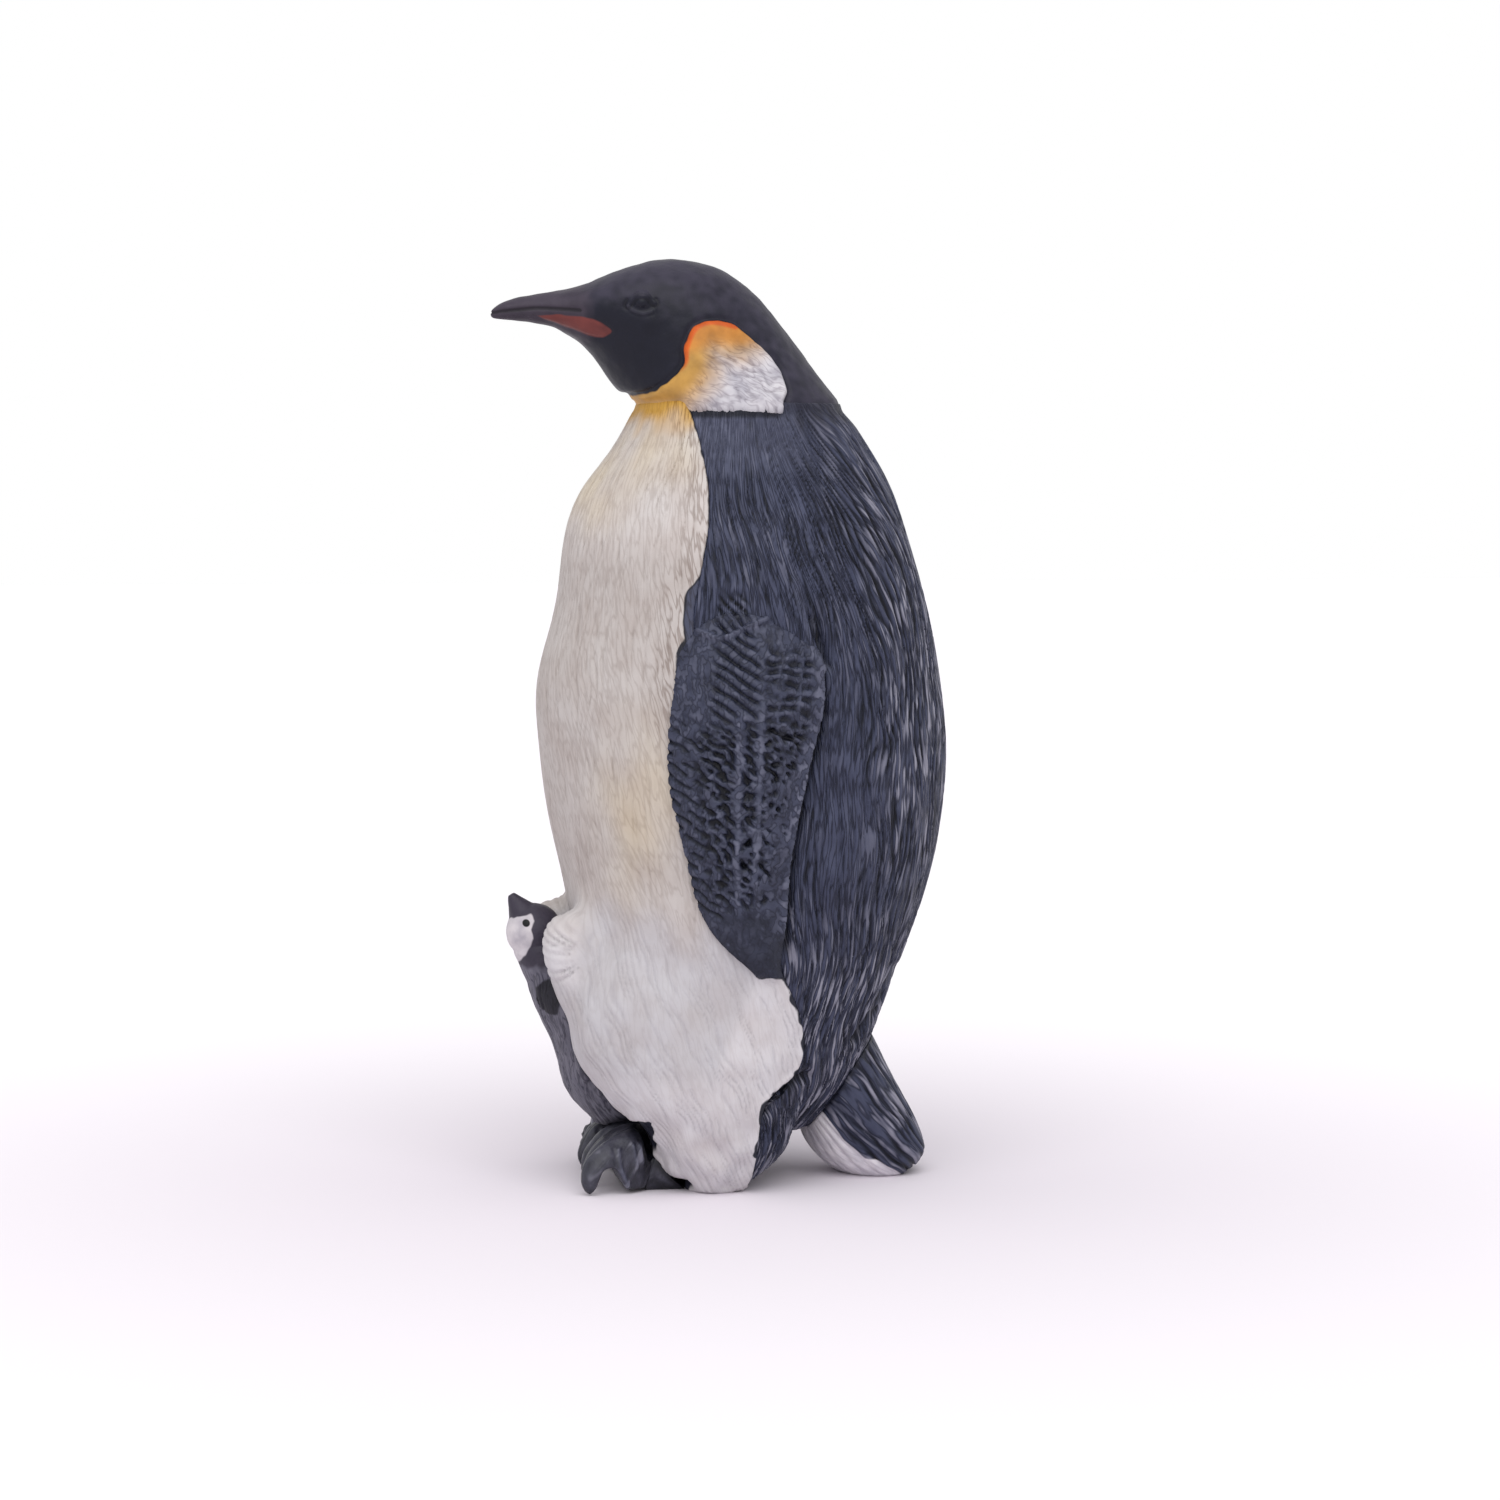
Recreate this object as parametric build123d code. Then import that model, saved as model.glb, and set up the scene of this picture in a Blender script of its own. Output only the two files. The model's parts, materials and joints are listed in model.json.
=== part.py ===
from build123d import *
import math
import os

# Standing adult penguin with a chick on its feet: a moulded figurine in nine pieces that plug
# together. It stands on the floor at z = 0 and faces -Y. All lengths are in millimetres.

# Torso, from the floor up to the collar where the head plugs in
body_height = 75.8
body_depth = 40.4
body_width = 36.8
collar_depth = 20.0
collar_width = 18.0
collar_setback_share = 0.0  # centre of the collar from the body axis, of its depth

# Rows of the torso: height, front and back of the side outline, width
torso_shares = (
    (0.066, -0.223, 0.173, 0.435),
    (0.119, -0.322, 0.260, 0.679),
    (0.191, -0.384, 0.327, 0.826),
    (0.277, -0.403, 0.389, 0.902),
    (0.373, -0.426, 0.455, 0.957),
    (0.475, -0.468, 0.495, 0.995),
    (0.567, -0.490, 0.505, 1.000),
    (0.646, -0.493, 0.490, 0.978),
    (0.739, -0.450, 0.458, 0.924),
    (0.825, -0.428, 0.413, 0.826),
    (0.892, -0.384, 0.371, 0.701),
    (0.939, -0.318, 0.324, 0.587),
    (0.972, -0.280, 0.284, 0.520),
)

# Feathered legs that bulge out of the torso and stand on the floor
leg_height = 27.0
leg_depth = 27.5
leg_width = 16.6
leg_spread = 15.8  # between the middles of the two legs
# Rows of one leg: height, front and back of the side outline from the body axis, width
leg_shares = (
    (0.000, -0.240, -0.036, 0.400),
    (0.045, -0.290, 0.018, 0.540),
    (0.130, -0.355, 0.110, 0.690),
    (0.245, -0.436, 0.155, 0.850),
    (0.352, -0.535, 0.200, 0.950),
    (0.481, -0.620, 0.290, 1.000),
    (0.630, -0.650, 0.345, 0.990),
    (0.778, -0.610, 0.360, 0.900),
    (0.926, -0.490, 0.340, 0.740),
    (1.000, -0.400, 0.300, 0.600),
)

# Rolls of the brood fold that hold the chick's head from both sides
roll_height = 10.4
roll_depth = 7.0
roll_width = 5.6
roll_spread = 12.6
roll_front_share = -0.512  # front of a roll from the body axis, of the body depth
roll_level_share = 0.222  # foot of a roll, of the body height
# Rows of one roll: height, front and back, width
roll_shares = (
    (0.000, 0.380, 1.100, 0.540),
    (0.240, 0.190, 1.100, 0.820),
    (0.480, 0.070, 1.080, 0.960),
    (0.710, 0.000, 1.020, 1.000),
    (0.880, 0.070, 0.960, 0.820),
    (0.960, 0.210, 0.840, 0.540),
)
roll_top_shares = (0.500, 1.000)

# Seam between the pale belly half and the dark back half: height and place from the body axis
seam_shares = (
    (1.000, -0.152),
    (0.940, -0.128),
    (0.870, -0.123),
    (0.790, -0.150),
    (0.730, -0.170),
    (0.600, -0.120),
    (0.435, -0.055),
    (0.320, 0.008),
    (0.257, 0.064),
    (0.198, 0.096),
    (0.158, 0.079),
    (0.129, 0.015),
    (0.080, -0.010),
    (0.000, -0.022),
)

# Head and neck above the collar
head_height = 14.2
neck_depth = 20.4
neck_width = 17.2
# Rows of the head: nape or crown point, then throat or chin point, then width.
# Lengths along Y are shares of the neck depth, heights are shares of the head height.
neck_shares = (
    (0.490, 0.000, -0.490, 0.000, 1.000),
    (0.392, 0.176, -0.530, 0.039, 0.955),
    (0.279, 0.394, -0.583, 0.099, 0.885),
    (0.157, 0.627, -0.623, 0.165, 0.810),
    (-0.025, 0.873, -0.686, 0.296, 0.730),
)
eye_row_shares = (-0.245, 0.986, -0.755, 0.408, 0.655)  # the eyes stand at its widest points
face_shares = (
    (-0.431, 0.982, -0.814, 0.468, 0.560),
    (-0.608, 0.905, -0.892, 0.525, 0.410),
)
eye_radius = 1.1
eye_bulge = 0.35

# Bill, measured from the crown point of the last row of the head
bill_length = 12.1
bill_depth = 5.4
bill_width = 5.0
# Rows of the bill: upper point, then lower point, then width
bill_shares = (
    (-0.281, -0.240, -0.612, -0.926, 1.000),
    (-0.554, -0.380, -0.760, -0.880, 0.680),
    (-0.820, -0.480, -0.925, -0.860, 0.440),
)
bill_tip_shares = (-1.005, -0.720)

# Flippers that lie against the sides
flipper_length = 37.0
flipper_width = 14.8
flipper_rise = 2.1  # how far the middle of a flipper stands out of the body
flipper_edge = 0.5  # how far its edges stand out
flipper_bed = 1.6  # how deep the blank reaches into the body before it is trimmed
flipper_top_share = 0.772  # of the body height
# Rows of a flipper: distance down from its top, front edge, back edge, rise of the middle, rise of the edges
flipper_shares = (
    (0.000, -0.400, 0.050, -0.60, -2.40),
    (0.100, -0.520, 0.200, 0.35, -1.20),
    (0.190, -0.581, 0.338, 0.80, 0.40),
    (0.311, -0.622, 0.351, 1.00, 1.00),
    (0.446, -0.649, 0.297, 1.00, 1.00),
    (0.608, -0.581, 0.209, 0.95, 1.00),
    (0.770, -0.459, 0.149, 0.85, 0.90),
    (0.905, -0.284, 0.128, 0.65, 0.80),
    (1.000, -0.050, 0.135, 0.35, 0.60),
)

# Tail wedge behind the legs
tail_length = 15.6
tail_height = 16.0
tail_width = 14.4
# Rows of the tail: upper point, then lower point, then width.
# Y is a share of the tail length from the front of the tail, Z of the tail height.
tail_front_share = 0.115  # front of the tail from the body axis, of the body depth
tail_shares = (
    (0.420, 1.060, 0.110, 0.700, 0.900),
    (0.530, 0.890, 0.130, 0.530, 0.960),
    (0.640, 0.680, 0.080, 0.370, 1.000),
    (0.760, 0.460, 0.130, 0.190, 0.980),
    (0.860, 0.270, 0.270, 0.040, 0.880),
    (0.890, 0.160, 0.420, -0.030, 0.740),
    (0.860, 0.070, 0.600, -0.050, 0.480),
)

# Feet: an instep with three hooked toes each
foot_spread = 10.6
foot_height = 6.3
instep_length = 6.2
instep_width = 7.4
# Rows of the instep from front to back: length, lower and upper edge of the oval, width.
# The lower edge lies below the floor, which cuts the sole flat.
instep_shares = (
    (0.000, -0.250, 0.940, 0.920),
    (0.400, -0.250, 1.000, 1.000),
    (0.750, -0.200, 0.900, 0.900),
    (1.000, -0.120, 0.700, 0.640),
)
instep_front_share = -0.262  # front of the instep from the body axis, of the body depth
toe_length = 5.8
toe_width = 3.0
toe_angles = (-8.0, 12.0, 38.0)  # turned outwards from straight ahead
toe_step = 2.0  # between toe roots, across the foot
# Rows of a toe: upper point, then lower point, then width
toe_shares = (
    (0.300, 0.900, 0.300, 0.180, 0.950),
    (-0.150, 0.970, -0.050, 0.280, 1.000),
    (-0.480, 0.900, -0.320, 0.420, 0.960),
    (-0.800, 0.690, -0.570, 0.400, 0.850),
    (-1.000, 0.360, -0.760, 0.250, 0.620),
    (-0.985, 0.110, -0.840, 0.080, 0.380),
)
toe_tip_shares = (-0.920, 0.000)

# Chick
chick_height = 21.0
chick_depth = 8.4
chick_width = 9.6
chick_front_share = -0.371  # front of the chick's foot from the body axis, of the body depth
# Rows of the chick's body: height above the feet, front, back, width
chick_low_shares = (
    (-0.040, 0.050, 0.700, 0.700),
    (0.060, -0.170, 0.700, 0.900),
    (0.200, -0.340, 0.700, 1.000),
)
chick_waist_shares = (0.345, -0.440, 0.550, 0.960)  # row of the flippers and the peg
chick_high_shares = (
    (0.490, -0.610, 0.300, 0.840),
    (0.615, -0.720, 0.000, 0.680),
    (0.720, -0.830, -0.170, 0.600),
    (0.800, -0.880, -0.250, 0.540),
)
chick_head_radius = 2.75
chick_head_front_share = -0.640  # middle of the head, of the chick depth
chick_head_level_share = 0.865  # middle of the head, of the chick height
chick_bill_reach = 4.3  # from the middle of the head
chick_bill_radius = 1.9
chick_bill_tip_radius = 0.35
chick_bill_angle = 32.0  # forwards from straight up
chick_flipper_length = 7.0
chick_flipper_width = 2.8
chick_flipper_thickness = 1.6
chick_flipper_lead_share = 0.30  # how far the flippers sit forwards, of the waist's half depth
# Rows of a chick's flipper: distance down from its top, chord, thickness
chick_flipper_shares = (
    (0.100, 0.700, 0.800),
    (0.300, 1.000, 1.000),
    (0.600, 0.900, 0.900),
    (0.900, 0.500, 0.500),
)

# Plugs that locate the pieces while the glue sets
glue_gap = 0.1
neck_plug_radius = 3.8
neck_plug_length = 5.0
neck_plug_flat = 3.0  # distance of the key flat from the plug's middle
neck_plug_setback = 1.2  # how far the plug stands behind the collar's middle
flipper_peg_radius = 1.8
flipper_peg_length = 4.0
flipper_peg_share = 0.24  # down the flipper
tail_peg_radius = 1.8
tail_peg_length = 4.0
foot_peg_radius = 1.3
foot_peg_length = 2.4
chick_peg_radius = 1.5
chick_peg_length = 3.5
seam_pin_radius = 2.0
seam_pin_length = 4.0
seam_pin_level_shares = (0.42, 0.72)  # heights of the two seam pins, of the body height
overrun = 5.0  # how far cutting shapes run past what they cut
section_point_count = 12  # points on each oval section, from its front point round


def section(front, back, width):
    """Oval section between two (y, z) points of the side outline."""
    (front_y, front_z), (back_y, back_z) = front, back
    plane = Plane(
        origin=(0, (front_y + back_y) / 2, (front_z + back_z) / 2),
        x_dir=(1, 0, 0),
        z_dir=(0, front_z - back_z, back_y - front_y),
    )
    depth = math.hypot(back_y - front_y, back_z - front_z)
    points = []
    for step in range(section_point_count):
        angle = 2 * math.pi * step / section_point_count
        points.append((width / 2 * math.sin(angle), -depth / 2 * math.cos(angle)))
    return plane * make_face(Spline(*points, periodic=True))


def floor_cut(shape):
    """What of the shape stands above the floor."""
    size = shape.bounding_box().diagonal + body_height
    below = Pos(0, 0, -size / 2) * Box(2 * size, 2 * size, size)
    return shape - below


def torso_row(share):
    """Front, back and width of the torso at a share of its height, between its rows."""
    rows = [(h, f * body_depth, b * body_depth, w * body_width) for h, f, b, w in torso_shares]
    middle = collar_setback_share * collar_depth
    rows.append((1.0, middle - collar_depth / 2, middle + collar_depth / 2, collar_width))
    for low, high in zip(rows, rows[1:]):
        if share <= high[0]:
            part = (share - low[0]) / (high[0] - low[0])
            return [a + part * (b - a) for a, b in zip(low[1:], high[1:])]
    return rows[-1][1:]


def torso_side(y, z):
    """How far the torso reaches in X at a place of its side outline."""
    front, back, width = torso_row(z / body_height)
    reach = (2 * y - front - back) / (back - front)
    return width / 2 * math.sqrt(max(0.0, 1.0 - reach * reach))


def torso():
    rows = [row[0] for row in torso_shares] + [1.0]
    sections = []
    for share in rows:
        front, back, width = torso_row(share)
        level = share * body_height
        sections.append(section((front, level), (back, level), width))
    return loft(sections)


def leg():
    sections = []
    for height, front, back, width in leg_shares:
        level = height * leg_height
        sections.append(section((front * leg_depth, level), (back * leg_depth, level), width * leg_width))
    return Pos(leg_spread / 2, 0, 0) * loft(sections)


def brood_roll():
    front = roll_front_share * body_depth
    foot = roll_level_share * body_height
    sections = []
    for height, near, far, width in roll_shares:
        level = foot + height * roll_height
        ends = (front + near * roll_depth, level), (front + far * roll_depth, level)
        sections.append(section(*ends, width * roll_width))
    top_y, top_z = roll_top_shares
    sections.append(Vertex(0, front + top_y * roll_depth, foot + top_z * roll_height))
    return Pos(roll_spread / 2, 0, 0) * loft(sections)


def both_sides(shape):
    return [shape, mirror(shape, about=Plane.YZ)]


def whole_body():
    shape = torso()
    for piece in both_sides(leg()) + both_sides(brood_roll()):
        shape = shape + piece
    return shape


def seam_region():
    """Everything in front of the seam, as a prism across the body."""
    points = [(place * body_depth, height * body_height) for height, place in seam_shares]
    top, bottom = points[0], points[-1]
    front = -body_depth
    above, below = body_height + overrun, -overrun
    seam = Spline(points)
    rest = Polyline(bottom, (bottom[0], below), (front, below), (front, above), (top[0], above), top)
    return extrude(Plane.YZ * make_face(seam + rest), amount=body_width, both=True)


def eyes(row_section):
    """Eyeballs on the widest points of one row of the head."""
    row_box = row_section.bounding_box()
    middle = row_box.center()
    place = Pos(row_box.max.X - eye_radius + eye_bulge, middle.Y, middle.Z)
    return both_sides(place * Sphere(eye_radius))


def head():
    sections = []
    for row in neck_shares + (eye_row_shares,) + face_shares:
        nape_y, nape_z, throat_y, throat_z, width = row
        nape = (nape_y * neck_depth, body_height + nape_z * head_height)
        throat = (throat_y * neck_depth, body_height + throat_z * head_height)
        sections.append(section(throat, nape, width * neck_width))
    root_y, root_z = nape
    for top_y, top_z, low_y, low_z, width in bill_shares:
        top = (root_y + top_y * bill_length, root_z + top_z * bill_depth)
        low = (root_y + low_y * bill_length, root_z + low_z * bill_depth)
        sections.append(section(low, top, width * bill_width))
    tip_y, tip_z = bill_tip_shares
    sections.append(Vertex(0, root_y + tip_y * bill_length, root_z + tip_z * bill_depth))
    shape = loft(sections)
    for eye in eyes(sections[len(neck_shares)]):
        shape = shape + eye
    return shape


def neck_plug(gap):
    """Keyed plug below the head, let out by the gap for its socket."""
    length = neck_plug_length + gap
    round_plug = Cylinder(neck_plug_radius + gap, 2 * length)
    key = neck_plug_flat + gap
    flat_side = Pos(0, key + neck_plug_radius, 0) * Box(
        4 * neck_plug_radius, 2 * neck_plug_radius, 2 * length
    )
    lower = Pos(0, 0, -length / 2) * Box(4 * neck_plug_radius, 4 * neck_plug_radius, length)
    place = Pos(0, collar_setback_share * collar_depth + neck_plug_setback, body_height)
    return place * ((round_plug - flat_side) & lower)


def flipper_blank():
    """Left flipper as a crescent that hugs the side of the torso, still sunk into it."""
    top = flipper_top_share * body_height
    sections = []
    for down, front, back, rise, edge_rise in flipper_shares:
        z = top - down * flipper_length
        front_y, back_y = front * flipper_width, back * flipper_width
        middle_y = (front_y + back_y) / 2
        side = torso_side(middle_y, z)
        edge = flipper_edge * edge_rise
        front_edge = (torso_side(front_y, z) + edge, front_y)
        back_edge = (torso_side(back_y, z) + edge, back_y)
        outside = ThreePointArc(front_edge, (side + flipper_rise * rise, middle_y), back_edge)
        inside = ThreePointArc(front_edge, (side - flipper_bed, middle_y), back_edge)
        sections.append(Pos(0, 0, z) * make_face(outside + inside))
    return loft(sections)


def flipper_peg(gap):
    """Peg that runs from the left flipper into the side of the body."""
    row = flipper_peg_share * flipper_length
    z = flipper_top_share * body_height - row
    length = flipper_peg_length + gap + flipper_rise / 2
    inner = torso_side(0, z) - flipper_peg_length - gap
    place = Pos(inner + length / 2, 0, z) * Rot(0, 90, 0)
    return place * Cylinder(flipper_peg_radius + gap, length)


def tail_blank():
    front = tail_front_share * body_depth
    sections = []
    for top_y, top_z, low_y, low_z, width in tail_shares:
        upper = (front + top_y * tail_length, top_z * tail_height)
        lower = (front + low_y * tail_length, low_z * tail_height)
        sections.append(section(lower, upper, width * tail_width))
    return floor_cut(loft(sections))


def tail_peg(gap):
    """Peg from the middle of the tail's second row, up and forwards into the rump."""
    front = tail_front_share * body_depth
    top_y, top_z, low_y, low_z, _ = tail_shares[2]
    middle_y = front + (top_y + low_y) / 2 * tail_length
    middle_z = (top_z + low_z) / 2 * tail_height
    rise = tail_shares[0][1] + tail_shares[0][3] - top_z - low_z
    run = tail_shares[0][0] + tail_shares[0][2] - top_y - low_y
    direction = (0, run * tail_length, rise * tail_height)
    reach = math.hypot(direction[1], direction[2]) / 2
    length = reach + tail_peg_length + gap
    plane = Plane(origin=(0, middle_y, middle_z), x_dir=(1, 0, 0), z_dir=direction)
    return plane * Pos(0, 0, length / 2) * Cylinder(tail_peg_radius + gap, length)


def toe():
    """Toe that points along -Y, with its root over the origin and its claw on the floor."""
    sections = []
    for top_y, top_z, low_y, low_z, width in toe_shares:
        upper = (top_y * toe_length, top_z * foot_height)
        lower = (low_y * toe_length, low_z * foot_height)
        sections.append(section(lower, upper, width * toe_width))
    tip_y, tip_z = toe_tip_shares
    sections.append(Vertex(0, tip_y * toe_length, tip_z * foot_height))
    return loft(sections)


def foot_blank():
    """Left foot: instep and toes, still running into the leg."""
    front = instep_front_share * body_depth
    sections = []
    for length, low, high, width in instep_shares:
        y = front + length * instep_length
        sections.append(section((y, low * foot_height), (y, high * foot_height), width * instep_width))
    shape = loft(sections)
    for number, angle in enumerate(toe_angles):
        across = (number - 1) * toe_step
        shape = shape + Pos(across, front, 0) * Rot(0, 0, angle) * toe()
    return Pos(foot_spread / 2, 0, 0) * floor_cut(shape)


def foot_peg(gap):
    """Peg from the instep backwards into the leg."""
    front = instep_front_share * body_depth
    length = instep_length + foot_peg_length + gap
    place = Pos(foot_spread / 2, front + length / 2, foot_height / 2) * Rot(90, 0, 0)
    return place * Cylinder(foot_peg_radius + gap, length)


def chick_flipper():
    """Left flipper of the chick, half sunk into the side of its body."""
    front = chick_front_share * body_depth
    height, near, far, width = chick_waist_shares
    middle = front + ((near + far) - chick_flipper_lead_share * (far - near)) / 2 * chick_depth
    top = foot_height + height * chick_height + chick_flipper_length / 2
    sections = [Vertex(0, middle, top)]
    for down, chord, thick in chick_flipper_shares:
        level = top - down * chick_flipper_length
        half = chord * chick_flipper_width / 2
        sections.append(section((middle - half, level), (middle + half, level), thick * chick_flipper_thickness))
    sections.append(Vertex(0, middle, top - chick_flipper_length))
    return Pos(width * chick_width / 2, 0, 0) * loft(sections)


def chick_blank():
    base = foot_height
    front = chick_front_share * body_depth
    sections = []
    for height, front_row, back_row, width in chick_low_shares + (chick_waist_shares,) + chick_high_shares:
        level = base + height * chick_height
        ends = (front + front_row * chick_depth, level), (front + back_row * chick_depth, level)
        sections.append(section(*ends, width * chick_width))
    head_y = front + chick_head_front_share * chick_depth
    head_z = base + chick_head_level_share * chick_height
    head_place = Pos(0, head_y, head_z)
    shape = loft(sections) + head_place * Sphere(chick_head_radius)
    bill_root = chick_head_radius / 2
    bill_length = chick_bill_reach - bill_root
    bill = Cone(chick_bill_radius, chick_bill_tip_radius, bill_length)
    bill_place = head_place * Rot(chick_bill_angle, 0, 0) * Pos(0, 0, bill_root + bill_length / 2)
    shape = shape + bill_place * bill
    for flipper in both_sides(chick_flipper()):
        shape = shape + flipper
    return shape


def chick_peg(gap):
    """Peg from the middle of the chick's body backwards into the belly."""
    front = chick_front_share * body_depth
    height, front_row, _, _ = chick_waist_shares
    level = foot_height + height * chick_height
    start = front + front_row * chick_depth + chick_peg_radius
    belly = torso_row(level / body_height)[0]
    length = belly - start + chick_peg_length + gap
    place = Pos(0, start + length / 2, level) * Rot(90, 0, 0)
    return place * Cylinder(chick_peg_radius + gap, length)


def seam_place(share):
    """Where the seam lies along Y at a share of the body height, between its points."""
    for high, low in zip(seam_shares, seam_shares[1:]):
        if share >= low[0]:
            part = (share - low[0]) / (high[0] - low[0])
            return (low[1] + part * (high[1] - low[1])) * body_depth
    return seam_shares[-1][1] * body_depth


def seam_pin(share, gap):
    """Pin of the belly half that runs into the back half at a share of the body height."""
    length = 2 * (seam_pin_length + gap)
    place = Pos(0, seam_place(share), share * body_height) * Rot(90, 0, 0)
    return place * Cylinder(seam_pin_radius + gap, length)


def build_figure():
    """All pieces by name, each in its place about the body axis."""
    body = whole_body()
    left_flipper = flipper_blank() - body + flipper_peg(0)
    left_foot = foot_blank() - body + foot_peg(0)
    feet = both_sides(left_foot)
    chick = chick_blank() - body
    for foot in feet:
        chick = chick - foot
    chick = chick + chick_peg(0)
    tail = tail_blank() - body + tail_peg(0)
    sockets = [neck_plug(glue_gap), tail_peg(glue_gap), chick_peg(glue_gap)]
    sockets += both_sides(flipper_peg(glue_gap)) + both_sides(foot_peg(glue_gap))
    for socket in sockets:
        body = body - socket
    front_region = seam_region()
    belly_half = body & front_region
    back_half = body - front_region
    for share in seam_pin_level_shares:
        belly_half = belly_half + seam_pin(share, 0)
        back_half = back_half - seam_pin(share, glue_gap)
    flippers = both_sides(left_flipper)
    return {
        "belly_half": belly_half,
        "back_half": back_half,
        "head": head() + neck_plug(0),
        "left_flipper": flippers[0],
        "right_flipper": flippers[1],
        "tail": tail,
        "left_foot": feet[0],
        "right_foot": feet[1],
        "chick": chick,
    }


figure = build_figure()
bounds = Compound(list(figure.values())).bounding_box()
to_centre = Pos(0, -bounds.center().Y, 0)
os.makedirs("parts", exist_ok=True)
for name, piece in figure.items():
    print(name, round(piece.volume), "mm3")
    export_step(to_centre * piece, f"parts/{name}.step")
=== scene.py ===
import json
import math
import bpy
import numpy as np
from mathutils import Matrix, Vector, noise
from mathutils.bvhtree import BVHTree

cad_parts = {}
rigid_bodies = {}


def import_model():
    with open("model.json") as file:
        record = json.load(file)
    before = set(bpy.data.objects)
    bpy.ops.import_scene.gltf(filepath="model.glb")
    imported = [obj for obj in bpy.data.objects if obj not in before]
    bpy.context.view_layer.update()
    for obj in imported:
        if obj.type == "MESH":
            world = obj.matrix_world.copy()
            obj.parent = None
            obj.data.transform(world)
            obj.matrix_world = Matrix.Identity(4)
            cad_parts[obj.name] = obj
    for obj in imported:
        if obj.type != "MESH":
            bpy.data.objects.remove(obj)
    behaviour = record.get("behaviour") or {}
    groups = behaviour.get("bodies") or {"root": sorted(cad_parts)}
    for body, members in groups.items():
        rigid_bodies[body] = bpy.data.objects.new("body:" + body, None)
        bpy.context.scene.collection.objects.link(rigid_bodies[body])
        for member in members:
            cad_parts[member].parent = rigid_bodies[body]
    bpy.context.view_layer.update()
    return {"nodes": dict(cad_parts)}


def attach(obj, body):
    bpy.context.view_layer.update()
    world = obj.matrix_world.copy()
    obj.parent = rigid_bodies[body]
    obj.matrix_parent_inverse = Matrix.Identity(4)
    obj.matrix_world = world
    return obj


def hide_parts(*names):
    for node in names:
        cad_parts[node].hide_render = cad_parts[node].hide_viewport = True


# Hand-painted penguin with a chick on its feet. It faces -Y, its left side is +X, and all
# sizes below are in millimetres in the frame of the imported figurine. Places given as pairs
# are (y, z) points of the side view. Other pairs are the two ends of a soft step. Strokes are
# given as pitch, length, depth and seed, ruffles as share, two sizes and seed, specks as share,
# size and height, and ridges and cuts as height, place and width. Plain factors in the sums are
# shares of a mask or a tone.

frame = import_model()
mm = 0.001
bodyAxisY = 2.08  # the upright axis that the feather strokes run down from
coatRadius = 16.0  # turns about that axis become lengths across the strokes
nearReach = 3.0  # how far off a neighbouring piece still counts
seamFade = (0.05, 0.5)  # gaps to a neighbour over which the carving sets in
carved = ((0.0, 0.4), (75.0, 75.6))  # levels where it sets in above the floor and ends at the neck
bodyNodes = ["belly_half", "back_half"]
flipperNodes = ["left_flipper", "right_flipper"]


# Small helpers

comb = dict(
    waver=1.3, waverSpan=3,  # how far and how often a cut strays, in pitches
    breakSpan=1.4, breakRate=0.7, breakSeed=7.3, breakFade=(-0.3, 0.2),  # where cuts stop
)
rebuild = dict(merge=0.001, softness=0.5, rounds=3)
hidden = dict(reach=0.3, gap=0.13, margin=3, keep=0.04)  # faces against other pieces


def colour(hexValue):  # sRGB hex to the linear colour that a socket takes
    parts = [int(hexValue[i:i + 2], 16) / 255 for i in (1, 3, 5)]
    linear = [c / 12.92 if c <= 0.04045 else ((c + 0.055) / 1.055) ** 2.4 for c in parts]
    return (*linear, 1.0)


def addNode(tree, kind, inputs=None, stops=None, out=0, **settings):
    node = tree.nodes.new(kind)
    for name, value in settings.items():
        setattr(node, name, value)
    for socket, value in (inputs or {}).items():
        if isinstance(value, bpy.types.NodeSocket):
            tree.links.new(value, node.inputs[socket])
        else:
            node.inputs[socket].default_value = value
    if stops:
        ramp = node.color_ramp.elements
        while len(ramp) < len(stops):
            ramp.new(0.5)
        for element, (place, tone) in zip(ramp, stops):
            element.position = place
            element.color = colour(tone)
    return node.outputs[out] if node.outputs else None


def ease(low, high, x):  # soft step from 0 at low to 1 at high
    t = np.clip((x - low) / (high - low), 0, 1)
    return t * t * (3 - 2 * t)


def drop(low, high, x):  # soft step from 1 at low to 0 at high
    return 1 - ease(low, high, x)


def band(x, rise, fall):  # 1 between two soft steps
    return ease(*rise, x) * drop(*fall, x)


def hump(gap, width):  # rounded ridge or groove across a line
    return np.exp(-(gap / width) ** 2)


def raised(gap, height, place, width):  # ridge at a distance from a line
    return height * hump(gap - place, width)


def spot(y, z, middleY, middleZ, wide, tall):  # soft patch with half sizes
    return np.exp(-((y - middleY) / wide) ** 2 - ((z - middleZ) / tall) ** 2)


def wave(u, pitch):
    return 0.5 + 0.5 * np.cos(2 * math.pi * u / pitch)


def noiseAt(u, v, w):
    rows = np.stack(np.broadcast_arrays(u, v, w), 1).tolist()
    return np.array([noise.noise(row) for row in rows])


def ruffle(u, v, share, wide, tall, seed):  # soft noise in two directions
    return share * noiseAt(u / wide, v / tall, seed)


def speckle(points, share, size, height=None):  # soft noise in patches
    x, y, z = points.T
    return share * noiseAt(x / size, y / size, z / (height or size))


def combed(u, v, pitch, length, depth, seed):
    # cut lines that waver, stop and start: 0 in them and 1 between them, then how deep they are
    waver = comb["waver"] * pitch * noiseAt(u / (comb["waverSpan"] * pitch), v / length, seed)
    breakAlong, breakSeed = comb["breakRate"] * v / length, seed + comb["breakSeed"]
    breaks = noiseAt(u / (comb["breakSpan"] * pitch), breakAlong, breakSeed)
    level = 1 - ease(*comb["breakFade"], breaks) * wave(u + waver, pitch) ** 2
    return level, (1 - level) * depth


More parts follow.
